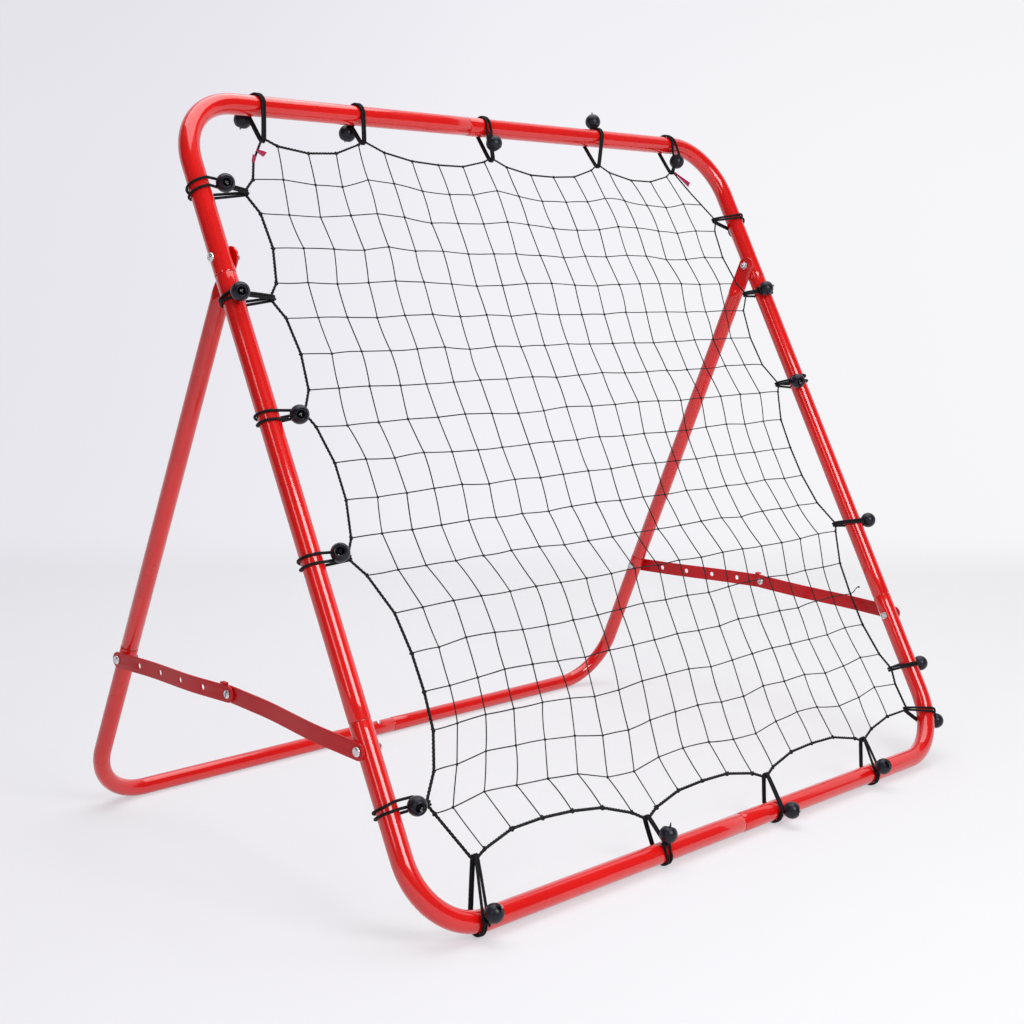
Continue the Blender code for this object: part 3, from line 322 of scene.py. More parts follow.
class Shape:
    """Points and faces of one piece, with each face's finish and its place round and along a strand."""

    def __init__(self):
        self.points = []
        self.faces = []
        self.places = []
        self.finishes = []
        self.count = 0

    def rings(self, rings, along, closed=False, finish=0):
        """Joins rings of points into a tube; along is each ring's place on the strand, in metres."""
        rings = np.asarray(rings, float)
        total, sides = rings.shape[:2]
        row, column = np.divmod(np.arange((total if closed else total - 1) * sides), sides)
        start = row * sides
        ahead = (row + 1) % total * sides
        beside = (column + 1) % sides
        quads = np.stack([start + column, start + beside, ahead + beside, ahead + column], -1) + self.count
        along = np.append(along, along[-1] + along[1] - along[0])
        near = along[row]
        far = along[row + 1]
        low = column / sides
        high = low + 1 / sides
        self.points.append(rings.reshape(-1, 3))
        self.faces.extend(quads.tolist())
        corners = np.stack([low, near, high, near, high, far, low, far], -1)
        self.places.extend(corners.reshape(-1, 2).tolist())
        caps = () if closed else (0, total - 1)
        for ring in caps:
            base = self.count + ring * sides
            self.faces.append(list(range(base, base + sides)))
            self.places.extend([[0.0, along[ring]]] * sides)
        self.finishes.extend([finish] * (len(quads) + len(caps)))
        self.count += total * sides
        return self

    def mesh(self, name):
        mesh = bpy.data.meshes.new(name)
        mesh.from_pydata(np.concatenate(self.points).tolist(), [], self.faces)
        layer = mesh.uv_layers.new(name="strand")
        layer.data.foreach_set("uv", np.asarray(self.places, np.float32).ravel())
        mesh.polygons.foreach_set("material_index", np.asarray(self.finishes, np.int32))
        mesh.update()
        with editing(mesh) as work:
            bmesh.ops.recalc_face_normals(work, faces=work.faces)
        return mesh


@contextlib.contextmanager
def editing(mesh):
    """The mesh opened for edits and then written back."""
    work = bmesh.new()
    work.from_mesh(mesh)
    yield work
    work.to_mesh(mesh)
    work.free()


def plane_matrix(origin, turn):
    return Matrix.Translation(origin) @ Matrix.Rotation(turn, 4, "X")


FRONT = plane_matrix(FRONT_ORIGIN, FRONT_TURN)
REAR = plane_matrix(REAR_ORIGIN, REAR_TURN)


def new_object(name, data):
    made = bpy.data.objects.new(name, data)
    bpy.context.scene.collection.objects.link(made)
    return made


def evaluated_mesh(holder):
    bpy.context.view_layer.update()
    return bpy.data.meshes.new_from_object(holder.evaluated_get(bpy.context.evaluated_depsgraph_get()))


def add_piece(name, form, finishes, body, matrix, node=None, sharp=40.0):
    """One named piece that rides on its body, and replaces the solid node where one is given."""
    mesh = form.mesh(name) if isinstance(form, Shape) else form
    mesh.transform(matrix)
    mesh.shade_smooth()
    mesh.set_sharp_from_angle(angle=math.radians(sharp))
    for finish in finishes:
        mesh.materials.append(finish)
    piece = new_object(name, mesh)
    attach(piece, body)
    if node:
        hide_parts(node)
    return piece


def tube_piece(node, form, body, matrix):
    return add_piece("enamelled_" + node, form, [RED_TUBE], body, matrix, node)


def bar_piece(node, form, matrix):
    return add_piece("painted_" + node, form, [RED_BAR], node, matrix, node)


def plated_piece(node, form, body, matrix, *others):
    return add_piece("plated_" + node, form, [ZINC, *others], body, matrix, node, 30.0)


def combine(piece, other, operation):
    """Cuts the other object from the piece, or joins it on, and removes it."""
    boolean = piece.modifiers.new(operation, "BOOLEAN")
    boolean.operation = operation
    boolean.solver = "EXACT"
    boolean.object = other
    mesh = evaluated_mesh(piece)
    piece.modifiers.clear()
    piece.data = mesh
    bpy.data.objects.remove(other, do_unlink=True)


def drill(piece, centre, direction=ACROSS, radius=HOLE_RADIUS, depth=DRILL_LENGTH):
    """A round hole through a piece, cut and applied."""
    turn = Vector(FORWARD).rotation_difference(Vector(direction)).to_matrix().to_4x4()
    mesh = bpy.data.meshes.new("drill")
    with editing(mesh) as work:
        bmesh.ops.create_cone(work, cap_ends=True, segments=24, radius1=radius, radius2=radius, depth=depth,
                              matrix=Matrix.Translation(centre) @ turn)
    combine(piece, new_object("drill", mesh), "DIFFERENCE")


# Lines and rings

def unit(vectors):
    """Vectors of length one, along the last axis."""
    return vectors / np.linalg.norm(vectors, axis=-1, keepdims=True)


def ease(share):
    return share * share * (3.0 - 2.0 * share)


def lengths(path):
    """The distance along a path at each of its points."""
    return np.concatenate([[0.0], np.cumsum(np.linalg.norm(np.diff(path, axis=0), axis=1))])


def points_along(line, distance, places):
    return np.stack([np.interp(places, distance, line[:, axis]) for axis in range(3)], -1)


def circle(sides):
    """The cosines and sines of even angles round a circle."""
    angles = 2 * math.pi * np.arange(sides) / sides
    return np.cos(angles), np.sin(angles)


def rings_round(centres, across, upward, radii, sides):
    """Rings about centres in the planes of two directions; a radius may differ for each side."""
    radii = np.asarray(radii, float)
    if radii.ndim < 2:
        radii = np.broadcast_to(radii, (len(centres),))[:, None]
    cosine, sine = circle(sides)
    wheel = cosine[:, None] * across[..., None, :] + sine[:, None] * upward[..., None, :]
    return centres[:, None, :] + wheel * radii[..., None]


def turned(centre, axis, side, profile, sides):
    """Rings about an axis from (place on the axis, radius) points."""
    places, radii = np.array(profile).T
    return rings_round(centre + axis * places[:, None], side, np.cross(axis, side), radii, sides)


def smooth_line(points, step):
    """A rounded line through control points, in even steps."""
    points = np.asarray(points, float)
    padded = np.concatenate([2 * points[:1] - points[1:2], points, 2 * points[-1:] - points[-2:-1]])
    share = np.linspace(0.0, 1.0, 16, endpoint=False)[:, None]
    fine = [0.5 * (2 * b + (c - a) * share + (2 * a - 5 * b + 4 * c - d) * share ** 2
                   + (3 * b - a - 3 * c + d) * share ** 3)
            for a, b, c, d in zip(padded, padded[1:], padded[2:], padded[3:])]
    fine = np.concatenate(fine + [points[-1:]])
    marks = lengths(fine)
    keep = np.concatenate([[True], np.diff(marks) > 1e-9])
    places = np.linspace(0.0, marks[-1], int(marks[-1] / step) + 2)
    return points_along(fine[keep], marks[keep], places)


def tube_along(path, radius, sides, closed=False):
    """Rings along a free path, turned as little as possible from one to the next."""
    ahead = np.roll(path, -1, 0) - np.roll(path, 1, 0) if closed else np.gradient(path, axis=0)
    ahead = unit(ahead)
    side = np.cross(ahead[0], FORWARD)
    if np.linalg.norm(side) < 0.1:
        side = np.cross(ahead[0], ACROSS)
    across = []
    for direction in ahead:
        side = unit(side - direction * (side @ direction))
        across.append(side)
    across = np.array(across)
    upward = np.cross(ahead, across)
    if closed:
        last = across[-1] - ahead[0] * (across[-1] @ ahead[0])
        twist = math.atan2(last @ upward[0], last @ across[0])
        turn = -twist * np.arange(len(path)) / len(path)
        across = across * np.cos(turn)[:, None] + upward * np.sin(turn)[:, None]
        upward = np.cross(ahead, across)
    return rings_round(path, across, upward, radius, sides)


# Node materials

class Nodes:
    """A Principled material and short calls that add its nodes."""

    def __init__(self, name):
        self.material = bpy.data.materials.new(name)
        self.material.use_nodes = True
        self.tree = self.material.node_tree
        self.shader = self.tree.nodes["Principled BSDF"]

    def add(self, kind, inputs, **settings):
        """A new node; each of its inputs takes a value or a link from another node's output."""
        node = self.tree.nodes.new(kind)
        for key, value in settings.items():
            setattr(node, key, value)
        for key, value in inputs.items():
            if isinstance(value, bpy.types.NodeSocket):
                self.tree.links.new(value, node.inputs[key])
            else:
                node.inputs[key].default_value = value
        return node

    def set(self, **values):
        for key, value in values.items():
            self.shader.inputs[key.replace("_", " ")].default_value = value

    def position(self):
        return self.add("ShaderNodeTexCoord", {}).outputs["Object"]

    def split(self, vector):
        return self.add("ShaderNodeSeparateXYZ", {0: vector}).outputs

    def strand(self):
        """The place round the strand, from 0 to 1, and along it in metres."""
        return self.split(self.add("ShaderNodeUVMap", {}, uv_map="strand").outputs["UV"])[:2]

    def noise(self, scale, detail=3.0, roughness=0.5):
        inputs = {"Scale": scale, "Detail": detail, "Roughness": roughness, "Vector": self.position()}
        return self.add("ShaderNodeTexNoise", inputs).outputs["Fac"]

    def math(self, operation, *values):
        return self.add("ShaderNodeMath", dict(enumerate(values)), operation=operation).outputs[0]

    def plus(self, first, second):
        return self.math("ADD", first, second)

    def times(self, first, second):
        return self.math("MULTIPLY", first, second)

    def largest(self, first, *others):
        for other in others:
            first = self.math("MAXIMUM", first, other)
        return first

    def above(self, value, limit):
        return self.math("GREATER_THAN", value, limit)

    def zigzag(self, value):
        return self.math("PINGPONG", value, 0.5)

    def ramp(self, value, *stops):
        node = self.add("ShaderNodeValToRGB", {"Fac": value})
        elements = node.color_ramp.elements
        while len(elements) < len(stops):
            elements.new(0.5)
        for element, (place, colour) in zip(elements, stops):
            element.position = place
            element.color = (*colour, 1.0)
        return node.outputs["Color"]

    def spread(self, value, low, high):
        """The value from 0 to 1, spread from low to high."""
        inputs = {"Value": value, "To Min": low, "To Max": high}
        return self.add("ShaderNodeMapRange", inputs).outputs["Result"]

    def between(self, value, low, high):
        """0 at the low value, 1 at the high one, smooth between."""
        inputs = {"Value": value, "From Min": low, "From Max": high}
        return self.add("ShaderNodeMapRange", inputs, interpolation_type="SMOOTHSTEP").outputs["Result"]

    def bump(self, height, strength, distance, below=None):
        inputs = {"Strength": strength, "Distance": distance, "Height": height}
        if below is not None:
            inputs["Normal"] = below
        return self.add("ShaderNodeBump", inputs).outputs["Normal"]

    def finish(self, colour=None, roughness=None, normal=None):
        for name, value in (("Base Color", colour), ("Roughness", roughness), ("Normal", normal)):
            if value is not None:
                self.tree.links.new(value, self.shader.inputs[name])
        return self.material


def enamel(name, light, dark, roughness, coat):
    """Baked red paint: faint clouding, orange peel, dust nibs and fine rubbed marks."""
    nodes = Nodes(name)
    cloud = nodes.noise(9.0, 4.0, 0.6)
    marks = nodes.above(nodes.noise(260.0, 5.0, 0.75), 0.66)
    rough = nodes.plus(nodes.spread(cloud, *roughness), nodes.times(marks, 0.10))
    peel = nodes.bump(nodes.noise(520.0, 2.0, 0.5), 0.02, 0.0006)
    nibs = nodes.bump(nodes.above(nodes.noise(900.0, 1.0), 0.78), 0.02, 0.0003, peel)
    nodes.set(Coat_Weight=coat, Coat_Roughness=0.06, Coat_IOR=1.62, Specular_IOR_Level=0.15)
    return nodes.finish(nodes.ramp(cloud, (0.30, dark), (0.68, light)), rough, nibs)


def zinc_plate():
    """Bright zinc plating: fine turning marks and a slightly uneven blue-white tone."""
    nodes = Nodes("zinc_plate")
    tone = nodes.noise(420.0, 3.0, 0.6)
    colour = nodes.ramp(tone, (0.30, (0.60, 0.61, 0.63)), (0.70, (0.80, 0.80, 0.80)))
    scratches = nodes.bump(nodes.noise(2400.0, 2.0), 0.12, 0.0002)
    nodes.set(Metallic=1.0)
    return nodes.finish(colour, nodes.spread(tone, 0.20, 0.36), scratches)


def yarn_finish(nodes, yarn, fibres, colour, roughness, strength, depth, fuzz):
    """Relief and gloss that all yarns share: yarns stand up, and fine fibres break their surface."""
    relief = nodes.bump(yarn, strength, depth)
    return nodes.finish(colour, nodes.spread(fibres, *roughness), nodes.bump(fibres, fuzz, 0.0002, relief))


def twisted(name, light, dark, pitch, plies, strength):
    """Twine: plies that wind round the strand, with fibres that scatter a little light; the colour carries
    painted shade, dark in the grooves between plies and light on their crowns.
    """
    nodes = Nodes(name)
    around, along = nodes.strand()
    phase = nodes.plus(nodes.times(around, float(plies)), nodes.times(along, 1.0 / pitch))
    ply = nodes.times(nodes.zigzag(phase), 2.0)
    fibres = nodes.noise(2600.0, 3.0, 0.7)
    # Partly painted shade: the colour follows the plies' relief, darker in the grooves and lighter on the
    # crowns; the fibre noise adds random tone
    tone = nodes.plus(nodes.times(ply, 0.6), nodes.times(fibres, 0.5))
    nodes.set(Sheen_Weight=0.03, Sheen_Roughness=0.5, Specular_IOR_Level=0.15)
    colour = nodes.ramp(tone, (0.25, dark), (0.85, light))
    return yarn_finish(nodes, ply, fibres, colour, (0.62, 0.88), strength, 0.0004, 0.25)


def braided(name, light, dark, pitch, yarns):
    """Braided elastic cord: two sets of yarns that cross in a fine herringbone; the colour carries painted
    shade, darker between the yarns.
    """
    nodes = Nodes(name)
    around, along = nodes.strand()
    run = nodes.times(along, 1.0 / pitch)
    turn = nodes.times(around, float(yarns))
    left = nodes.zigzag(nodes.plus(turn, run))
    right = nodes.zigzag(nodes.math("SUBTRACT", turn, run))
    yarn = nodes.times(nodes.largest(left, right), 2.0)
    fibres = nodes.noise(2200.0, 3.0, 0.7)
    # Partly painted shade: the colour follows the yarns' relief, darker where they dip between each other;
    # the fibre noise adds random tone
    tone = nodes.plus(nodes.times(yarn, 0.65), nodes.times(fibres, 0.4))
    nodes.set(Sheen_Weight=0.02, Sheen_Roughness=0.45, Specular_IOR_Level=0.15)
    colour = nodes.ramp(tone, (0.30, dark), (0.95, light))
    return yarn_finish(nodes, yarn, fibres, colour, (0.50, 0.75), 0.55, 0.0005, 0.2)


def moulded():
    """Moulded black plastic of the balls: satin, with faint flow marks and scuffs."""
    nodes = Nodes("moulded_black")
    flow = nodes.noise(130.0, 4.0, 0.6)
    scuffs = nodes.noise(900.0, 5.0, 0.8)
    colour = nodes.ramp(flow, (0.30, (0.005, 0.005, 0.011)), (0.75, (0.012, 0.012, 0.024)))
    rough = nodes.plus(nodes.spread(flow, 0.28, 0.38), nodes.times(nodes.above(scuffs, 0.62), 0.12))
    nodes.set(Specular_IOR_Level=0.32)
    return nodes.finish(colour, rough, nodes.bump(scuffs, 0.10, 0.0003))


def ribbon_cloth():
    """Woven crimson ribbon: warp and weft with a satin sheen; the colour carries painted shade, darker
    between the threads.
    """
    nodes = Nodes("crimson_ribbon")
    around, along = nodes.strand()
    warp = nodes.zigzag(nodes.times(around, 24.0))
    weft = nodes.zigzag(nodes.times(along, 2200.0))
    weave = nodes.plus(warp, weft)
    # Partly painted shade: the colour follows the weave's relief, darker between the threads; the noise adds
    # random tone
    tone = nodes.plus(nodes.times(weave, 0.4), nodes.times(nodes.noise(240.0, 3.0, 0.6), 0.6))
    colour = nodes.ramp(tone, (0.25, (0.22, 0.005, 0.040)), (0.80, (0.42, 0.009, 0.075)))
    nodes.set(Sheen_Weight=0.05, Roughness=0.6, Specular_IOR_Level=0.2)
    return nodes.finish(colour, None, nodes.bump(weave, 0.3, 0.0002))


def clouded(name, light, dark, scale, strength, roughness):
    """A soft pale plastic or rubber, faintly clouded and grained."""
    nodes = Nodes(name)
    cloud = nodes.noise(scale)
    nodes.set(Subsurface_Weight=0.1, Roughness=roughness)
    colour = nodes.ramp(cloud, (0.3, dark), (0.7, light))
    return nodes.finish(colour, None, nodes.bump(cloud, strength, 0.0002))


RED_TUBE = enamel("red_tube_enamel", (0.74, 0.007, 0.006), (0.64, 0.005, 0.004), (0.24, 0.32), 0.9)
RED_BAR = enamel("red_bar_enamel", (0.60, 0.008, 0.013), (0.50, 0.006, 0.009), (0.34, 0.46), 0.2)
ZINC = zinc_plate()
TWINE = twisted("black_twine", (0.022, 0.022, 0.026), (0.004, 0.004, 0.005), 0.004, 2, 0.5)
ROPE = twisted("black_rope", (0.020, 0.020, 0.024), (0.004, 0.004, 0.005), 0.006, 2, 0.35)
CORD = braided("black_braid", (0.010, 0.010, 0.013), (0.002, 0.002, 0.003), 0.0042, 8)
BALL = moulded()
RIBBON = ribbon_cloth()
NYLON = clouded("nylon_ring", (0.72, 0.74, 0.75), (0.55, 0.58, 0.60), 700.0, 0.1, 0.45)
RUBBER = clouded("rubber_core", (0.72, 0.71, 0.68), (0.30, 0.29, 0.27), 1500.0, 0.3, 0.7)


# Tubes

def side_x(height):
    """Half the distance between the side tubes' axes at a height up the front frame."""
    return (FOOT_WIDTH + (TOP_WIDTH - FOOT_WIDTH) * height / FRAME_HEIGHT) / 2


def leg_x(height):
    """Half the distance between the rear legs' axes at a height above the rear bar."""
    return (REAR_FOOT_WIDTH + (REAR_TOP_WIDTH - REAR_FOOT_WIDTH) * height / LEG_LENGTH) / 2


def side_point(sign, height):
    return sign * side_x(height), height, 0.0


def leg_point(sign, height):
    return sign * leg_x(height), height - LEG_LENGTH, 0.0


def bend_path(points, radius):
    """Flat points with each inner corner rounded to the bend radius."""
    path = [Vector(points[0])]
    for before, corner, after in zip(points, points[1:], points[2:]):
        corner = Vector(corner)
        back = (Vector(before) - corner).normalized()
        ahead = (Vector(after) - corner).normalized()
        half = back.angle(ahead) / 2
        centre = corner + (back + ahead).normalized() * (radius / math.sin(half))
        start = corner + back * (radius / math.tan(half)) - centre
        swing = math.copysign(math.pi - 2 * half, -back.cross(ahead).z)
        for step in range(BEND_STEPS + 1):
            path.append(centre + Matrix.Rotation(swing * step / BEND_STEPS, 3, "Z") @ start)
    path.append(Vector(points[-1]))
    return np.array(path)


def walk(path, places):
    """Points and directions at distances along a path; its ends run on straight."""
    marks = lengths(path)
    inside = np.clip(places, 0.0, marks[-1])
    legs = unit(np.diff(path, axis=0))
    corners = np.concatenate([legs[:1], (legs[1:] + legs[:-1]) / 2, legs[-1:]])
    ahead = unit(points_along(corners, marks, inside))
    return points_along(path, marks, inside) + ahead * (places - inside)[:, None], ahead


def tube_end(radius, spigot):
    """Places and outer radii from an end inward: a rolled lip, or a reduced end and its shoulder."""
    if not spigot:
        return [(0.0, radius - LIP), (0.3 * LIP, radius - 0.3 * LIP), (LIP, radius)]
    reduced = radius - TUBE_WALL - SPIGOT_CLEARANCE
    return [(-SPIGOT_LENGTH, reduced - LIP), (-SPIGOT_LENGTH + LIP, reduced), (-0.2 * LIP, reduced),
            (0.0, reduced), (0.2 * LIP, radius - 0.8 * LIP), (0.6 * LIP, radius - 0.3 * LIP),
            (1.4 * LIP, radius)]


def tube_shape(points, bend_radius, radius, start_spigot=False, end_spigot=False):
    """A hollow tube with a wall, along a flat path."""
    path = bend_path(points, bend_radius)
    marks = lengths(path)
    length = marks[-1]
    marks = sorted(set(marks.round(6)) | set(np.arange(0.0, length, TUBE_STEP).round(6)))
    middle = [(mark, radius) for mark in marks if 2 * LIP < mark < length - 2 * LIP]
    end = [(length - place, size) for place, size in reversed(tube_end(radius, end_spigot))]
    places, radii = np.array(tube_end(radius, start_spigot) + middle + end).T
    centres, ahead = walk(path, places)
    outer, inner = (rings_round(centres, np.cross(ahead, FORWARD), FORWARD, radii - wall, TUBE_SIDES)
                    for wall in (0.0, TUBE_WALL))
    along = np.concatenate([places, places[::-1]])
    return Shape().rings(np.concatenate([outer, inner[::-1]]), along, closed=True)


def front_tubes():
    """Two top corners, two side tubes and two foot corners, pushed together at six joints."""
    for side, sign in SIDES:
        inside = side == "left"
        clearance = 0.0 if inside else SEAM_GAP
        tubes = (
            ("front_top_" + side + "_tube", inside, False, (PIVOT_HEIGHT,),
             [(TOP_BAR_SEAM + clearance, FRAME_HEIGHT, 0.0), side_point(sign, FRAME_HEIGHT),
              side_point(sign, UPPER_SEAM)]),
            ("front_" + side + "_side_tube", True, True, (PIVOT_HEIGHT, STRUT_FRONT_HEIGHT),
             [side_point(sign, LOWER_SEAM + SEAM_GAP), side_point(sign, UPPER_SEAM - SEAM_GAP)]),
            ("front_foot_" + side + "_tube", inside, False, (STRUT_FRONT_HEIGHT,),
             [(FOOT_BAR_SEAM + clearance, 0.0, 0.0), side_point(sign, 0.0), side_point(sign, LOWER_SEAM)]),
        )
        for node, start_spigot, end_spigot, holes, points in tubes:
            shape = tube_shape(points, FRONT_CORNER_RADIUS, FRONT_RADIUS, start_spigot, end_spigot)
            piece = tube_piece(node, shape, "front_frame", FRONT)
            for height in holes:
                drill(piece, FRONT @ Vector(side_point(sign, height)))


def leg_ring(drop):
    """One ring of the flattened end: x is through the tab, z is across it."""
    flat_half = TAB_THICKNESS / 2
    share = ease(min(max((drop - TAB_FLAT) / TAB_BLEND, 0.0), 1.0))
    half_depth = flat_half + (REAR_RADIUS - flat_half) * share
    half_width = TAB_RADIUS + (REAR_RADIUS - TAB_RADIUS) * share
    if drop < 0.0:
        half_width = math.sqrt(max(TAB_RADIUS ** 2 - drop ** 2, TAB_END ** 2))
        half_depth = min(flat_half, half_width)
    squareness = 2.0 / (6.0 - 4.0 * share)
    cosine, sine = (np.sign(part) * np.abs(part) ** squareness for part in circle(TUBE_SIDES))
    dimple = 1.0 - TAB_DIMPLE * math.sin(math.pi * share) ** 2 * np.exp(-(TAB_DIMPLE_SPREAD * sine) ** 2)
    return np.stack([half_depth * cosine * dimple, np.full(TUBE_SIDES, -drop), half_width * sine], -1)


def leg_shape():
    """A straight leg: pressed flat and rounded at the top, round and hollow below."""
    foot = LEG_LENGTH - REAR_LEG_SEAM - SEAM_GAP
    last = TAB_FLAT + TAB_BLEND
    drops = [-TAB_RADIUS * math.cos(math.radians(angle)) for angle in range(2, 90, 8)]
    drops += [0.25 * TAB_FLAT * step for step in range(4)]
    drops += [TAB_FLAT + TAB_BLEND * step / TAB_BLEND_STEPS for step in range(TAB_BLEND_STEPS + 1)]
    drops += [last + 2 * LEG_BORE_START, last + TUBE_STEP]
    lower = [(foot - place, size) for place, size in reversed(tube_end(REAR_RADIUS, True))]
    end, end_radius = lower[-1]
    lower += [(end, end_radius - TUBE_WALL), (foot, end_radius + LIP - TUBE_WALL),
              (last + 2 * LEG_BORE_START, REAR_RADIUS - TUBE_WALL),
              (last + LEG_BORE_START, 0.3 * REAR_RADIUS)]
    round_rings = turned(np.zeros(3), -UPWARD, ACROSS, lower, TUBE_SIDES)
    rings = np.concatenate([[leg_ring(drop) for drop in drops], round_rings])
    return Shape().rings(rings, -rings[:, :, 1].mean(1))


def rear_tubes():
    """Two flattened legs and two corner tubes that meet in the middle of the rear bar."""
    for side, sign in SIDES:
        splay = sign * math.atan2(leg_x(0.0) - leg_x(LEG_LENGTH), LEG_LENGTH)
        pivot = leg_point(sign, LEG_LENGTH)
        place = Matrix.Translation(pivot) @ Matrix.Rotation(splay, 4, "Z")
        leg = tube_piece("rear_" + side + "_leg", leg_shape(), "rear_frame", REAR @ place)
        bar_end = REAR_BAR_SEAM + (0.0 if side == "left" else SEAM_GAP)
        points = [(bar_end, -LEG_LENGTH, 0.0), leg_point(sign, 0.0), leg_point(sign, REAR_LEG_SEAM)]
        shape = tube_shape(points, REAR_CORNER_RADIUS, REAR_RADIUS, start_spigot=side == "right")
        corner = tube_piece("rear_" + side + "_corner_tube", shape, "rear_frame", REAR)
        drill(leg, REAR @ Vector(pivot))
        for piece in (leg, corner):
            drill(piece, REAR @ Vector(leg_point(sign, STRUT_REAR_HEIGHT)))
        drill(corner, REAR @ BUTTON_PLACE, REAR.to_3x3() @ Vector(UPWARD), BUTTON_HOLE_RADIUS, REAR_RADIUS)


# Flat bars

def arc(centre, radius, start, swing, steps):
    """Points on a flat arc, its angles in degrees."""
    angles = [math.radians(start + swing * step / steps) for step in range(steps + 1)]
    return [(centre[0] + radius * math.cos(angle), centre[1] + radius * math.sin(angle)) for angle in angles]


def plate_mesh(rings, thickness, edge):
    """A flat plate with rounded edges: the first ring is its outline, the others are holes."""
    curve = bpy.data.curves.new("plate", "CURVE")
    curve.dimensions = "2D"
    curve.fill_mode = "BOTH"
    curve.extrude = thickness / 2 - edge
    curve.bevel_depth = edge
    curve.bevel_resolution = 2
    curve.offset = -edge
    for ring in rings:
        spline = curve.splines.new("POLY")
        spline.points.add(len(ring) - 1)
        for target, (along, across) in zip(spline.points, ring):
            target.co = (along, across, 0.0, 1.0)
        spline.use_cyclic_u = True
    holder = new_object("plate", curve)
    mesh = evaluated_mesh(holder)
    bpy.data.objects.remove(holder, do_unlink=True)
    with editing(mesh) as work:
        bmesh.ops.remove_doubles(work, verts=work.verts, dist=1e-6)
    return mesh


def flat_bar_mesh(length, holes, start_plane, end_plane):
    """A drilled bar along y with round ends, that steps over in x between two planes."""
    rings = [arc((0.0, 0.0), BAR_WIDTH / 2, 90.0, 180.0, BAR_ARC_STEPS)
             + arc((length, 0.0), BAR_WIDTH / 2, -90.0, 180.0, BAR_ARC_STEPS)]
    rings += [arc((along, 0.0), HOLE_RADIUS, 0.0, 360.0, BAR_ARC_STEPS)[:-1] for along in holes]
    mesh = plate_mesh(rings, BAR_THICKNESS, BAR_EDGE)
    mesh.transform(Matrix(((0, 0, 1, 0), (1, 0, 0, 0), (0, 1, 0, 0), (0, 0, 0, 1))))
    stations = np.linspace(JOGGLE_START, length - JOGGLE_START, JOGGLE_STEPS + 1)
    shifts = start_plane + (end_plane - start_plane) * ease(np.linspace(0.0, 1.0, JOGGLE_STEPS + 1))
    with editing(mesh) as work:
        for station in stations:
            everything = work.verts[:] + work.edges[:] + work.faces[:]
            bmesh.ops.bisect_plane(work, geom=everything, dist=1e-6, plane_co=(0.0, station, 0.0),
                                   plane_no=UPWARD)
        for vertex in work.verts:
            vertex.co.x += np.interp(vertex.co.y, stations, shifts)
    return mesh


def bar_matrix(near, far):
    """Places a bar drawn along y from one (y, z) place to another."""
    angle = math.atan2(far[1] - near[1], far[0] - near[0])
    return Matrix.Translation((FRONT_ORIGIN[0], near[0], near[1])) @ Matrix.Rotation(angle, 4, "X")


def ear_mesh(sign):
    """The lug at the front bar's end, bent out over the rear bar to stop the struts dropping."""
    foot = BAR_WIDTH / 2 - EAR_OVERLAP
    under = EAR_HEIGHT - EAR_SHEET
    outline = [(0.0, foot)] + arc((EAR_SHEET, under), EAR_SHEET, 180.0, -90.0, 8)
    outline += [(EAR_REACH, EAR_HEIGHT), (EAR_REACH, under), (EAR_SHEET, under), (EAR_SHEET, foot)]
    mesh = plate_mesh([outline], EAR_LENGTH, EAR_EDGE)
    mesh.transform(Matrix(((sign, 0, 0, 0), (0, 0, -sign, 0), (0, 1, 0, 0), (0, 0, 0, 1))))
    return mesh


def struts():
    """Two drilled bars a side, riveted together so that they lock a little above the straight line."""
    middle = BAR_THICKNESS / 2
    for side, sign in SIDES:
        mesh = flat_bar_mesh(STRUT_FRONT_LENGTH, (0.0, STRUT_FRONT_LENGTH),
                             sign * (FRONT_BAR_FACE + middle), sign * (FRONT_BAR_LAP + middle))
        place = bar_matrix(STRUT_FRONT_PLACE, STRUT_RIVET_PLACE)
        front = bar_piece("front_strut_" + side, mesh, place)
        mesh = ear_mesh(sign)
        mesh.transform(place @ Matrix.Translation((sign * (FRONT_BAR_LAP + EAR_LIFT),
                                                   STRUT_FRONT_LENGTH + EAR_AHEAD, 0.0)))
        combine(front, new_object("ear", mesh), "UNION")
        mesh = flat_bar_mesh(STRUT_REAR_LENGTH, [HOLE_PITCH * step for step in range(HOLE_COUNT)],
                             sign * (REAR_BAR_FACE + middle), sign * (REAR_BAR_LAP + middle))
        bar_piece("rear_strut_" + side, mesh, bar_matrix(STRUT_REAR_PLACE, STRUT_RIVET_PLACE))


# Fasteners

def metres(profile):
    return np.array(profile) / 1000


def turned_shape(profile, sides=40, closed=False):
    """A turned form about x from a profile in metres, drawn outward along x."""
    profile = np.array(profile)
    if not closed:
        profile[:, 1] = np.maximum(profile[:, 1], 1e-5)
    rings = turned(np.zeros(3), ACROSS, UPWARD, profile, sides)
    return Shape().rings(rings, np.linspace(0.0, 0.01, len(rings)), closed=closed)


def bolt_shape(thread_from, end):
    """A ringed dome head, a plain shank and a rolled thread of 1 mm pitch, from the head inward."""
    turns = int((end - thread_from - 0.0005) / 0.001)
    parts = [metres(BOLT_HEAD), [(-thread_from, 0.003)]]
    parts += [(-thread_from - 0.001 * turn, 0.0) - metres(THREAD_TURN) * (1, -1) for turn in range(turns)]
    parts += [metres(BOLT_TIP) - (end, 0.0)]
    return turned_shape(np.concatenate(parts))


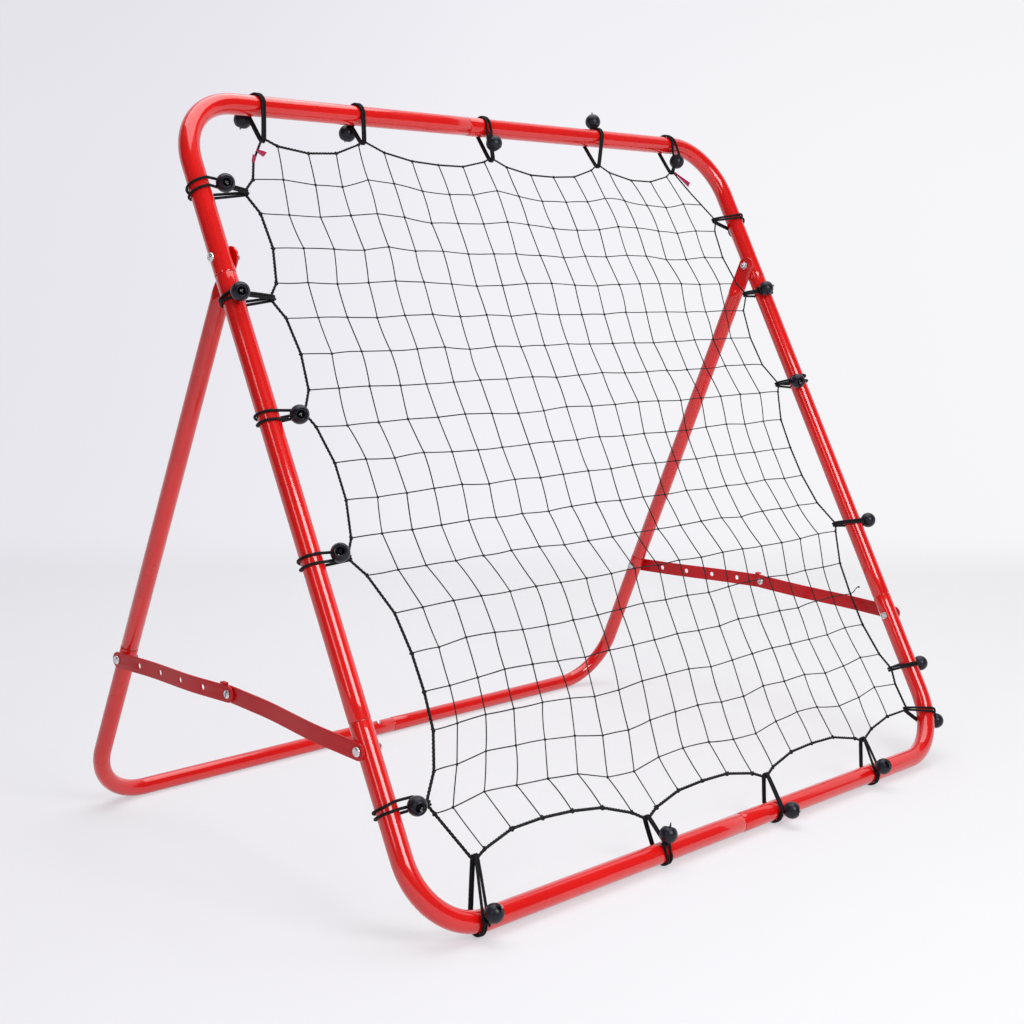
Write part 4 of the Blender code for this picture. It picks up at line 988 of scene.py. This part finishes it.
def lock_nut_shape():
    """A hexagon with chamfered corners and a pale nylon ring at its free end."""
    angles = 2 * math.pi * np.arange(NUT_SIDES) / NUT_SIDES
    hexagon = NUT_APOTHEM / np.cos((angles + math.pi / 6) % (math.pi / 3) - math.pi / 6)
    shape = Shape()
    for finish, profile in enumerate((NUT, LOCK_RING)):
        places, limits = metres(profile).T
        radii = np.minimum(hexagon / 1000, limits[:, None])
        rings = rings_round(ACROSS * places[:, None], UPWARD, FORWARD, radii, NUT_SIDES)
        shape.rings(rings, np.linspace(0.0, 0.005, len(rings)), closed=True, finish=finish)
    return shape


def side_matrix(sign, x, place):
    """Turns a piece drawn along +x so that it points outboard on either side."""
    turn = Matrix.Rotation(0.0 if sign > 0 else math.pi, 4, "Z")
    return Matrix.Translation((FRONT_ORIGIN[0] + sign * x, place[0], place[1])) @ turn


def fasteners():
    """Bolts and nuts at the pivots and the struts' outer ends, rivets between the bars, and the button."""
    pivot = FRONT @ Vector((0.0, PIVOT_HEIGHT, 0.0))
    bar = 2 * GAP + BAR_THICKNESS
    rows = (("pivot", "front_frame", side_x(PIVOT_HEIGHT) + FRONT_RADIUS + GAP, (pivot.y, pivot.z),
             2 * FRONT_RADIUS + PIVOT_SLACK),
            ("strut_front", "front_frame", side_x(STRUT_FRONT_HEIGHT) + FRONT_RADIUS + bar,
             STRUT_FRONT_PLACE, 2 * FRONT_RADIUS + STRUT_SLACK),
            ("strut_rear", "rear_frame", leg_x(STRUT_REAR_HEIGHT) + REAR_RADIUS + bar, STRUT_REAR_PLACE,
             2 * REAR_RADIUS + STRUT_SLACK))
    back = Matrix.Rotation(math.pi, 4, "Z")
    rivet = metres(RIVET)
    for side, sign in SIDES:
        for name, body, seat, place, grip in rows:
            if name == "pivot":
                nut, nut_place, end = lock_nut_shape(), grip + GAP, grip + PIVOT_BOLT_REACH
            else:
                nut, nut_place, end = turned_shape(metres(RING_NUT), 48, True), grip, grip + STRUT_BOLT_REACH
            plated_piece(name + "_bolt_" + side, bolt_shape(grip - THREAD_INSIDE, end), body,
                         side_matrix(sign, seat, place))
            plated_piece(name + "_nut_" + side, nut, body, side_matrix(sign, seat - nut_place, place), NYLON)
        plated_piece("strut_rivet_head_" + side, turned_shape(rivet), "rear_strut_" + side,
                     side_matrix(sign, REAR_BAR_LAP + BAR_THICKNESS + GAP, STRUT_RIVET_PLACE))
        plated_piece("strut_rivet_tail_" + side, turned_shape(rivet), "front_strut_" + side,
                     side_matrix(sign, FRONT_BAR_LAP - GAP, STRUT_RIVET_PLACE) @ back)
    outward = Matrix.Rotation(math.radians(90.0), 4, "Z")
    plated_piece("rear_snap_button", turned_shape(metres(BUTTON)), "snap_button",
                 REAR @ Matrix.Translation(BUTTON_PLACE) @ outward)


# Bungees' places

def nearest_on_tube(point):
    """The nearest place on the front frame's tube axis, and the tube's direction, to the right or up."""
    starts = OUTLINE[:-1]
    runs = OUTLINE[1:] - starts
    sizes = np.maximum((runs ** 2).sum(1), 1e-12)
    shares = np.clip(((point - starts) * runs).sum(1) / sizes, 0.0, 1.0)
    places = starts + runs * shares[:, None]
    distance = np.linalg.norm(places - point, axis=1)
    distance[sizes < 1e-9] = math.inf
    best = int(distance.argmin())
    direction = runs[best] / math.sqrt(sizes[best])
    return places[best], direction if direction[0] + direction[1] > 0 else -direction


class Tie:
    """One bungee: its seat on the tube, its hook on the net and how its ball lies."""

    def __init__(self, side, number, row):
        along, hook_along, inset, angle, slip, reach, self.spread, mouth = row
        self.name = side + "_" + str(number)
        self.side = side
        if side in ("top", "foot"):
            height, inward = (FRAME_HEIGHT, -1.0) if side == "top" else (0.0, 1.0)
            seat = np.array((along, height, 0.0))
            self.hook = np.array((hook_along, height + inward * inset, 0.0))
        else:
            sign = dict(SIDES)[side]
            seat = np.array(side_point(sign, along))
            self.hook = np.array((sign * (side_x(hook_along) - inset), hook_along, 0.0))
        self.centre, self.direction = nearest_on_tube(seat)
        normal = np.cross(self.direction, FORWARD)
        self.normal = normal if normal @ (self.hook - self.centre) > 0 else -normal
        self.front = FORWARD if angle >= 0 else -FORWARD
        turn = math.radians(abs(angle))
        outward = self.normal * math.cos(turn) + self.front * math.sin(turn)
        self.ball = self.centre + outward * reach + self.direction * slip
        self.mouth = outward if mouth is None else unit(np.array(mouth))

    def polar(self, point):
        """A point's turn round the tube, its distance from the axis and its place along the tube."""
        offset = point - self.centre
        across = offset @ self.normal
        ahead = offset @ self.front
        return math.atan2(ahead, across) % (2 * math.pi), math.hypot(across, ahead), offset @ self.direction

    def spot(self, turn, along):
        """A point that lies on the tube: turn from the net's side over the ball's side, and a place."""
        around = self.normal * math.cos(turn) + self.front * math.sin(turn)
        return self.centre + around * WRAP + self.direction * along

    def wind(self, start, end, least_steps, place):
        """Points round the tube from one turn to another; place gives each its place by its share."""
        steps = max(int(abs(start - end) / WIND_STEP), least_steps)
        shares = [step / steps for step in range(steps + 1)]
        return [self.spot(start + (end - start) * share, place(share)) for share in shares]


OUTLINE = bend_path([(0.0, FRAME_HEIGHT, 0.0), side_point(-1.0, FRAME_HEIGHT), side_point(-1.0, 0.0),
                     side_point(1.0, 0.0), side_point(1.0, FRAME_HEIGHT), (0.0, FRAME_HEIGHT, 0.0)],
                    FRONT_CORNER_RADIUS)
TIES = [Tie(side, number, row) for side, rows in TIE_ROWS.items() for number, row in enumerate(rows, 1)]


# Net

def row_heights(lifts=()):
    """The height of each row, with the lowest rows raised by the lifts."""
    heights = np.interp(np.arange(CELLS + 1), *zip(*ROW_MARKS))
    heights[:len(lifts)] += lifts
    return heights


def border_side(start, end, hooks, sags, ends=None, lifts=()):
    """One side of the net's edge: its string ends, and its corners with the hooks between them in order.

    The strings end at even distances along the edge where ends are given, or else at the rows' heights.
    """
    stops = [np.array((*start, 0.0))] + hooks + [np.array((*end, 0.0))]
    line = [stops[0]]
    hook_marks = []
    for first, second, sag in zip(stops, stops[1:], sags):
        run = second - first
        across = np.cross(FORWARD, unit(run))
        if across @ (NET_MIDDLE - first) < 0:
            across = -across
        for step in range(1, SAG_STEPS + 1):
            share = step / SAG_STEPS
            line.append(first + run * share + across * sag * (1 - abs(2 * share - 1) ** SAG_POWER))
        hook_marks.append(len(line) - 1)
    line = np.array(line)
    distance = lengths(line)
    if ends is None:
        strings = np.interp(row_heights(lifts)[1:-1], line[:, 1], distance)
    else:
        strings = np.linspace(ends[0], distance[-1] - ends[1], CELLS - 1)
    places = np.concatenate([[0.0], strings, distance[-1:]])
    corners = sorted(set(places) | set(distance[hook_marks[:-1]]))
    return points_along(line, distance, places), points_along(line, distance, corners)


def net_borders():
    """The net's edge on its four sides."""
    hooks = {side: [tie.hook for tie in TIES if tie.side == side] for side in TIE_ROWS}
    return (border_side(NET_TOP_LEFT, NET_TOP_RIGHT, hooks["top"], TOP_SAGS, TOP_ENDS),
            border_side(NET_FOOT_LEFT, NET_TOP_LEFT, hooks["left"][::-1], LEFT_SAGS, None, LEFT_ROW_LIFTS),
            border_side(NET_FOOT_RIGHT, NET_TOP_RIGHT, hooks["right"][::-1], RIGHT_SAGS),
            border_side(NET_FOOT_LEFT, NET_FOOT_RIGHT, hooks["foot"], FOOT_SAGS, FOOT_ENDS))


def net_crossings(top, left, right, foot):
    """The net's knots: level rows, evenly divided, that follow the edge near the top and the foot."""
    share = np.arange(CELLS + 1) / CELLS
    up = share[:, None, None]
    across = share[None, :, None]
    knots = left[:, None] * (1 - across) + right[:, None] * across
    lifts = row_heights(LEFT_ROW_LIFTS) - row_heights()
    knots[..., 1] = row_heights()[:, None] + lifts[:, None] * (1 - across[..., 0]) ** EDGE_FADE
    knots = knots + (foot - knots[0]) * (1 - up) ** EDGE_FADE + (top - knots[-1]) * up ** EDGE_FADE
    knots[0] = foot
    knots[-1] = top
    knots[:, 0] = left
    knots[:, -1] = right
    maker = np.random.default_rng(5)
    knots[1:-1, 1:-1] += maker.normal(0.0, 1.0, (CELLS - 1, CELLS - 1, 3)) * KNOT_DRIFT
    return knots


def string_line(knots, seed):
    """A fine line through one string's knots, almost straight between them."""
    pieces = []
    maker = np.random.default_rng(seed)
    for first, second in zip(knots, knots[1:]):
        steps = max(int(round(np.linalg.norm(second - first) / TWINE_STEP)), 2)
        share = np.linspace(0.0, 1.0, steps, endpoint=False)[:, None]
        bow = maker.normal(0.0, 1.0, 3) * STRING_BOW
        pieces.append(first + (second - first) * share + bow * 4 * share * (1 - share))
    return np.concatenate(pieces + [knots[-1:]])


def unevenness(count, seed):
    """Smooth small changes of a string's thickness, the same on every run."""
    maker = np.random.default_rng(seed)
    waves = maker.uniform(0.6, 2.4, 3)
    phases = maker.uniform(0.0, 2 * math.pi, 3)
    steps = np.linspace(0.0, 2 * math.pi, count)
    return sum(np.sin(steps * wave * 3 + phase) for wave, phase in zip(waves, phases)) / 3 * TWINE_UNEVENNESS


def knot_template():
    """A small tight knot: a closed line that winds three times round itself."""
    angle = np.linspace(0.0, 2 * math.pi, 30, endpoint=False)
    x = np.sin(angle) + 1.6 * np.sin(2 * angle)
    y = np.cos(angle) - 1.6 * np.cos(2 * angle)
    return np.stack([x, y, -np.sin(3 * angle)], -1) / 2.6


def add_knots(shape, places, size, thickness, seed):
    """A knot at each place, each turned its own way."""
    maker = np.random.default_rng(seed)
    for place in places:
        angle = maker.uniform(0.0, 2 * math.pi)
        tilt = maker.uniform(-0.4, 0.4)
        turn = np.array(Matrix.Rotation(angle, 3, "Z") @ Matrix.Rotation(tilt, 3, "X"))
        path = (knot_template() * (size, size, 0.8 * size)) @ turn.T + place
        shape.rings(tube_along(path, thickness, 6, closed=True), np.arange(len(path)) * 0.0003, closed=True)


def rope_size(places):
    """The edge rope's strand radius: thickest along the left of the foot, thinnest at the top and right."""
    angle = np.degrees(np.arctan2(places[..., 1] - NET_MIDDLE[1], places[..., 0]))
    return np.interp(angle, *zip(*ROPE_SIZES))


def rope_strands(shape, corners):
    """Strands laid round the closed edge, straight from knot to knot and hook to hook."""
    closed = np.concatenate([corners, corners[:1]])
    marks = lengths(closed)
    turns = round(marks[-1] / ROPE_PITCH)
    places = np.linspace(0.0, marks[-1], turns * ROPE_STEPS, endpoint=False)
    centre = points_along(closed, marks, places)
    for _ in range(3):
        centre = (np.roll(centre, 1, 0) + 2 * centre + np.roll(centre, -1, 0)) / 4
    ahead = unit(np.roll(centre, -1, 0) - np.roll(centre, 1, 0))
    across = np.cross(ahead, FORWARD)
    upward = np.cross(across, ahead)
    size = rope_size(centre)
    for strand in range(ROPE_PLIES):
        angle = (2 * math.pi * (turns * places / marks[-1] + strand / ROPE_PLIES))[:, None]
        offset = (np.cos(angle) * across + np.sin(angle) * upward) * (ROPE_LAY * size)[:, None]
        shape.rings(tube_along(centre + offset, size, 7, closed=True), places, closed=True)


def loose_end(shape, knot):
    """The edge rope's cut end: it leaves its knot, curls up and forward and ends in a melted bead."""
    line = smooth_line(knot + np.array(LOOSE_END), 0.0008)
    shape.rings(tube_along(line, LOOSE_END_RADIUS, 8), lengths(line))
    bead = [(place, BEAD_RADIUS * math.sin(math.pi * (place + BEAD_RADIUS) / (2 * BEAD_RADIUS)))
            for place in np.linspace(-0.00125, 0.00125, 9)]
    ahead = unit(line[-1] - line[-3])
    shape.rings(turned(line[-1], ahead, unit(np.cross(ahead, FORWARD)), bead, 10), np.arange(9) * 0.0003)


def net_pieces():
    """The knotted net: thin strings, a knot at every crossing and a laid rope round the edge."""
    top, left, right, foot = net_borders()
    knots = net_crossings(top[0], left[0], right[0], foot[0])
    twine = Shape()
    for index in range(1, CELLS):
        for line, seed in ((knots[index], 100 + index), (knots[:, index], 200 + index)):
            path = string_line(line, seed)
            radius = TWINE_RADIUS * (1.0 + unevenness(len(path), seed))
            twine.rings(tube_along(path, radius, 6), lengths(path))
    add_knots(twine, knots[1:-1, 1:-1].reshape(-1, 3), TWINE_KNOT_SIZE, TWINE_KNOT_RADIUS, 7)
    add_piece("net_strings", twine, [TWINE], "front_frame", FRONT, "net")

    rope = Shape()
    rope_strands(rope, np.concatenate([left[1][:0:-1], foot[1][:-1], right[1][:-1], top[1][:0:-1]]))
    for place in np.concatenate([knots[0, 1:-1], knots[-1, 1:-1], knots[1:-1, 0], knots[1:-1, -1]]):
        size = rope_size(place)
        add_knots(rope, [place], ROPE_KNOT_SIZE * size, ROPE_KNOT_RADIUS * size, int(place[0] * 1e5) % 9973)
    loose_end(rope, knots[LOOSE_END_ROW, -1])
    add_piece("net_edge_rope", rope, [ROPE], "front_frame", FRONT)


# Bungees

def bungee_line(tie):
    """The elastic's whole line.

    Two strands leave the ball, run to the net's edge and turn round it, pass behind the tube and
    round its outer side, and meet in the loop that is hooked over the ball's neck.
    """
    _, depth, hook_along = tie.polar(tie.hook)
    tangent = math.acos(WRAP / depth)
    side = tie.direction - tie.mouth * (tie.direction @ tie.mouth)
    side = unit(side if np.linalg.norm(side) > 0.35 else np.cross(tie.mouth, tie.normal))
    if side @ tie.direction < 0:
        side = -side
    edge = unit(np.cross(tie.normal, FORWARD))
    if edge @ tie.direction < 0:
        edge = -edge
    root_exit = tie.ball - tie.mouth * (BALL_RADIUS + 0.4 * CORD_RADIUS)
    neck = tie.ball - tie.mouth * (BALL_RADIUS + 0.7 * CORD_RADIUS)
    exit_turn, exit_distance, exit_along = tie.polar(root_exit)
    neck_turn, neck_distance, neck_along = tie.polar(neck)
    exit_swing = math.acos(min(WRAP / exit_distance, 1.0))
    neck_swing = math.acos(min(WRAP / neck_distance, 1.0))
    behind = tie.name in ROOTS_BEHIND
    if behind:
        near = -tie.front * HOOK_REACH
        root_from, root_to = exit_turn + exit_swing, 2 * math.pi - tangent
        loop_from, loop_to = tangent, neck_turn - neck_swing
    else:
        near = tie.front * HOOK_REACH
        root_from, root_to = exit_turn - exit_swing, tangent
        loop_from, loop_to = 2 * math.pi - tangent, neck_turn + neck_swing
    root_winds = abs(root_from - root_to) > LEAST_WIND and (root_from > root_to) == (not behind)
    loop_winds = not behind or loop_to > tangent + LEAST_WIND
    start_spread = SIDE_START_SPREAD if tie.side in dict(SIDES) else CORD_RADIUS
    back_along = hook_along * HOOK_SHARE - LEFT_BACK_DROP * (tie.side == "left")
    toward = neck - tie.spot(loop_to, neck_along)
    toward = toward - tie.mouth * (toward @ tie.mouth)
    toward = unit(toward if np.linalg.norm(toward) > 1e-4 else np.cross(side, tie.mouth))

    def strand(sign):
        def root_place(share):
            return exit_along + (hook_along - exit_along) * HOOK_SHARE * share + sign * PAIR_GAP

        def loop_place(share):
            spread = start_spread + (tie.spread - start_spread) * min(2.5 * share, 1.0)
            spread += (LOOP_HALF - tie.spread) * max(share - 0.7, 0.0) / 0.3 * 0.6
            return back_along * (1 - share) + neck_along * share ** 2 + sign * spread

        pair = side * sign * PAIR_GAP
        hook = tie.hook + edge * sign * HOOK_GAP
        line = [tie.ball + tie.mouth * 0.25 * BALL_RADIUS + 0.6 * pair,
                tie.ball - tie.mouth * 0.4 * BALL_RADIUS + 0.8 * pair, root_exit + pair]
        if root_winds:
            line += tie.wind(root_from, root_to, 2, root_place)
        line += [hook + near, hook + tie.normal * HOOK_REACH, hook - near]
        if loop_winds:
            line += tie.wind(loop_from, loop_to, 3, loop_place)
        return line + [neck + side * sign * width * LOOP_HALF + toward * over for width, over in NECK_POINTS]

    return strand(1.0) + strand(-1.0)[::-1]


def ball_shape(tie):
    """A bored ball with a dished mouth: a rounded rim, a step and a deep recess for the knot."""
    turns = np.linspace(BALL_RIM, BALL_BASE, BALL_STEPS)
    profile = np.concatenate([np.stack([np.cos(turns), np.sin(turns)], -1), BALL_BORE]) * BALL_RADIUS
    rings = turned(tie.ball, tie.mouth, mouth_side(tie), profile, BALL_SIDES)
    return Shape().rings(rings, np.linspace(0.0, 0.03, len(rings)), closed=True)


def mouth_side(tie):
    return unit(np.cross(tie.mouth, (0.3, 0.5, 0.8)))


def ball_knot(shape, tie, seed):
    """The knotted end of the elastic in the ball's recess, with its two cut ends."""
    maker = np.random.default_rng(seed)
    side = mouth_side(tie)
    other = np.cross(tie.mouth, side)
    turn = np.stack([side, other, tie.mouth], -1)
    path = (knot_template() * (0.0023, 0.0023, 0.0020)) @ turn.T + tie.ball + tie.mouth * 0.30 * BALL_RADIUS
    rings = tube_along(path, 0.0012, 8, closed=True)
    shape.rings(rings, np.arange(len(path)) * 0.0006, closed=True, finish=1)
    tail, fray = TAILS.get(tie.name, HIDDEN_TAIL)
    base = tie.ball + tie.mouth * 0.2 * BALL_RADIUS
    for length in (tail, 0.6 * tail):
        lean = maker.uniform(-1.0, 1.0, 2) * 0.0014
        reach = max(MOUTH_PLACE * BALL_RADIUS + length, 0.45 * BALL_RADIUS)
        tip = tie.ball + tie.mouth * reach + side * lean[0] + other * lean[1]
        line = smooth_line([base, (base + tip) / 2 + side * lean[1] * 0.6, tip], 0.0006)
        share = np.linspace(0.0, 1.0, len(line))
        taper = 1.0 - 0.55 * share ** 2 * (1.0 - fray) + 0.2 * fray * share ** 4
        shape.rings(tube_along(line, 0.0011 * taper, 8), lengths(line), finish=1)
        if fray > 0.6:
            fibres(shape, tip, tie.mouth, side, other, maker)


def fibres(shape, tip, mouth, side, other, maker):
    """Pale rubber threads and torn yarn that stand out of a cut end."""
    for _ in range(9):
        lean = maker.uniform(-1.0, 1.0, 2)
        away = side * lean[0] + other * lean[1]
        start = tip - mouth * 0.0006 + away * 0.0006
        end = start + mouth * maker.uniform(0.0012, 0.0028) + away * 0.0011
        line = np.linspace(start, end, 4)
        shape.rings(tube_along(line, 0.00022, 5), lengths(line), finish=2)


def bungees():
    """Twenty ball bungees, each an elastic loop round the tube and the net's edge, hooked over its ball."""
    for number, tie in enumerate(TIES):
        line = smooth_line(bungee_line(tie), CORD_STEP)
        cord = Shape().rings(tube_along(line, CORD_RADIUS, CORD_SIDES), lengths(line))
        add_piece("elastic_" + tie.name, cord, [CORD], "front_frame", FRONT,
                  "bungee_" + tie.name)
        bead = ball_shape(tie)
        ball_knot(bead, tie, 40 + number)
        add_piece("ball_" + tie.name, bead, [BALL, CORD, RUBBER], "front_frame", FRONT,
                  sharp=50.0)


def ribbons():
    """Scraps of crimson ribbon knotted to the net's edge near both top corners."""
    shape = Shape()
    for points, widths in RIBBONS:
        line = smooth_line(points, 0.0010)
        width = np.interp(np.linspace(0.0, 1.0, len(line)), np.linspace(0.0, 1.0, len(widths)), widths)
        ahead = unit(np.gradient(line, axis=0))
        across = np.cross(ahead, FORWARD)
        thick = np.cross(across, ahead)
        rows = []
        for centre, half, away, over in zip(line, width / 2, across, thick):
            curl = [centre + away * share * half + over * RIBBON_CURL * share ** 2
                    for share in np.linspace(-1.0, 1.0, 9)]
            rows.append([place + over * RIBBON_HALF_THICKNESS for place in curl]
                        + [place - over * RIBBON_HALF_THICKNESS for place in reversed(curl)])
        shape.rings(rows, lengths(line))
    add_piece("ribbon_scraps", shape, [RIBBON], "front_frame", FRONT, sharp=60.0)


# Camera, lights and backdrop

def aimed(name, data, place, right, upward, back):
    """A camera or a lamp, in place and turned by its three directions."""
    made = new_object(name, data)
    made.matrix_world = Matrix.Translation(place) @ Matrix((right, upward, back)).transposed().to_4x4()
    return made


def add_camera():
    data = bpy.data.cameras.new("camera")
    data.lens = CAMERA_LENS
    data.sensor_width = SENSOR_WIDTH
    right = CAMERA_AIM.cross(Vector(FORWARD)).normalized()
    upward = right.cross(CAMERA_AIM)
    roll = Matrix.Rotation(CAMERA_ROLL, 3, -CAMERA_AIM)
    camera = aimed("camera", data, CAMERA_PLACE, roll @ right, roll @ upward, -CAMERA_AIM)
    bpy.context.scene.camera = camera


def add_softbox(name, place, aim, upward, width, height, power):
    """A rectangular softbox that the camera doesn't see."""
    data = bpy.data.lights.new(name, "AREA")
    data.shape = "RECTANGLE"
    data.size = width
    data.size_y = height
    data.energy = power
    back = (Vector(place) - Vector(aim)).normalized()
    side = Vector(upward).cross(back).normalized()
    aimed(name, data, place, side, back.cross(side), back).visible_camera = False


def paper():
    """Pale paper that glows plainly far off, and under the frame keeps some of its shadow; its glow carries
    painted shade, darker and bluer to the left and darker higher up.
    """
    nodes = Nodes("studio_paper")
    nodes.set(Roughness=0.9, Specular_IOR_Level=0.1)
    nodes.finish(nodes.ramp(nodes.noise(3.0, 2.0), (0.0, (0.790, 0.788, 0.805)),
                            (1.0, (0.810, 0.808, 0.825))))
    across, away, height = nodes.split(nodes.position())
    # Painted shade: the glow colour is darker and bluer towards the left and a little darker higher up
    side_shaded_glow = nodes.ramp(nodes.between(across, *SIDEWAYS_PAINTED_SHADE), (0.0, (0.800, 0.790, 0.845)),
                       (0.45, (0.895, 0.885, 0.925)), (1.0, (0.930, 0.930, 0.950)))
    upward_painted_shade = nodes.ramp(nodes.between(height, *UPWARD_PAINTED_SHADE), (0.0, (1.0, 1.0, 1.0)),
                      (1.0, (0.93, 0.925, 0.94)))
    both = {"Factor": 1.0, "A": side_shaded_glow, "B": upward_painted_shade}
    shaded_glow_colour = nodes.add("ShaderNodeMix", both, data_type="RGBA", blend_type="MULTIPLY")
    glow = nodes.add("ShaderNodeEmission", {"Color": shaded_glow_colour.outputs["Result"]}).outputs["Emission"]
    rays = nodes.add("ShaderNodeLightPath", {}).outputs
    seen = nodes.largest(rays["Is Camera Ray"], rays["Is Glossy Ray"], rays["Is Transmission Ray"])
    distance = nodes.add("ShaderNodeVectorMath", {0: nodes.position()}, operation="LENGTH").outputs["Value"]
    plainness = nodes.largest(nodes.between(away, *PLAIN_BEHIND), LEAST_PLAIN,
                              nodes.between(distance, *PLAIN_AROUND))
    share = nodes.times(seen, plainness)
    mixer = nodes.add("ShaderNodeMixShader", {0: share, 1: nodes.shader.outputs["BSDF"], 2: glow})
    nodes.tree.links.new(mixer.outputs["Shader"], nodes.tree.nodes["Material Output"].inputs["Surface"])
    return nodes.material


def backdrop():
    """A paper floor that curves up into a wall behind the frame."""
    bend_from = WALL_PLACE - WALL_CURVE
    profile = [(FLOOR_FRONT, 0.0), (0.0, 0.0), (bend_from, 0.0)]
    profile += [(bend_from + WALL_CURVE * math.sin(angle), WALL_CURVE * (1.0 - math.cos(angle)))
                for angle in np.linspace(0.08, math.pi / 2, WALL_CURVE_STEPS)]
    profile += [(WALL_PLACE, WALL_HEIGHT)]
    points = [(across, away, height) for away, height in profile for across in (-WALL_WIDTH, WALL_WIDTH)]
    faces = [(row, row + 1, row + 3, row + 2) for row in range(0, len(points) - 2, 2)]
    mesh = bpy.data.meshes.new("studio_backdrop")
    mesh.from_pydata(points, [], faces)
    mesh.shade_smooth()
    mesh.materials.append(paper())
    stage = new_object("studio_backdrop", mesh)
    stage.matrix_world = Matrix.Rotation(math.atan2(-CAMERA_AIM.x, CAMERA_AIM.y), 4, "Z")


def studio():
    """A strip at the left, a softbox right of the camera, a wide one overhead, and a dim room."""
    scene = bpy.context.scene
    scene.view_settings.view_transform = "Standard"
    world = bpy.data.worlds.new("studio_room")
    world.use_nodes = True
    background = world.node_tree.nodes["Background"]
    background.inputs["Color"].default_value = ROOM_COLOUR
    background.inputs["Strength"].default_value = ROOM_STRENGTH
    scene.world = world
    backdrop()
    for name, settings in SOFTBOXES.items():
        add_softbox(name, *settings)
    add_camera()


studio()
front_tubes()
rear_tubes()
struts()
fasteners()
net_pieces()
bungees()
ribbons()
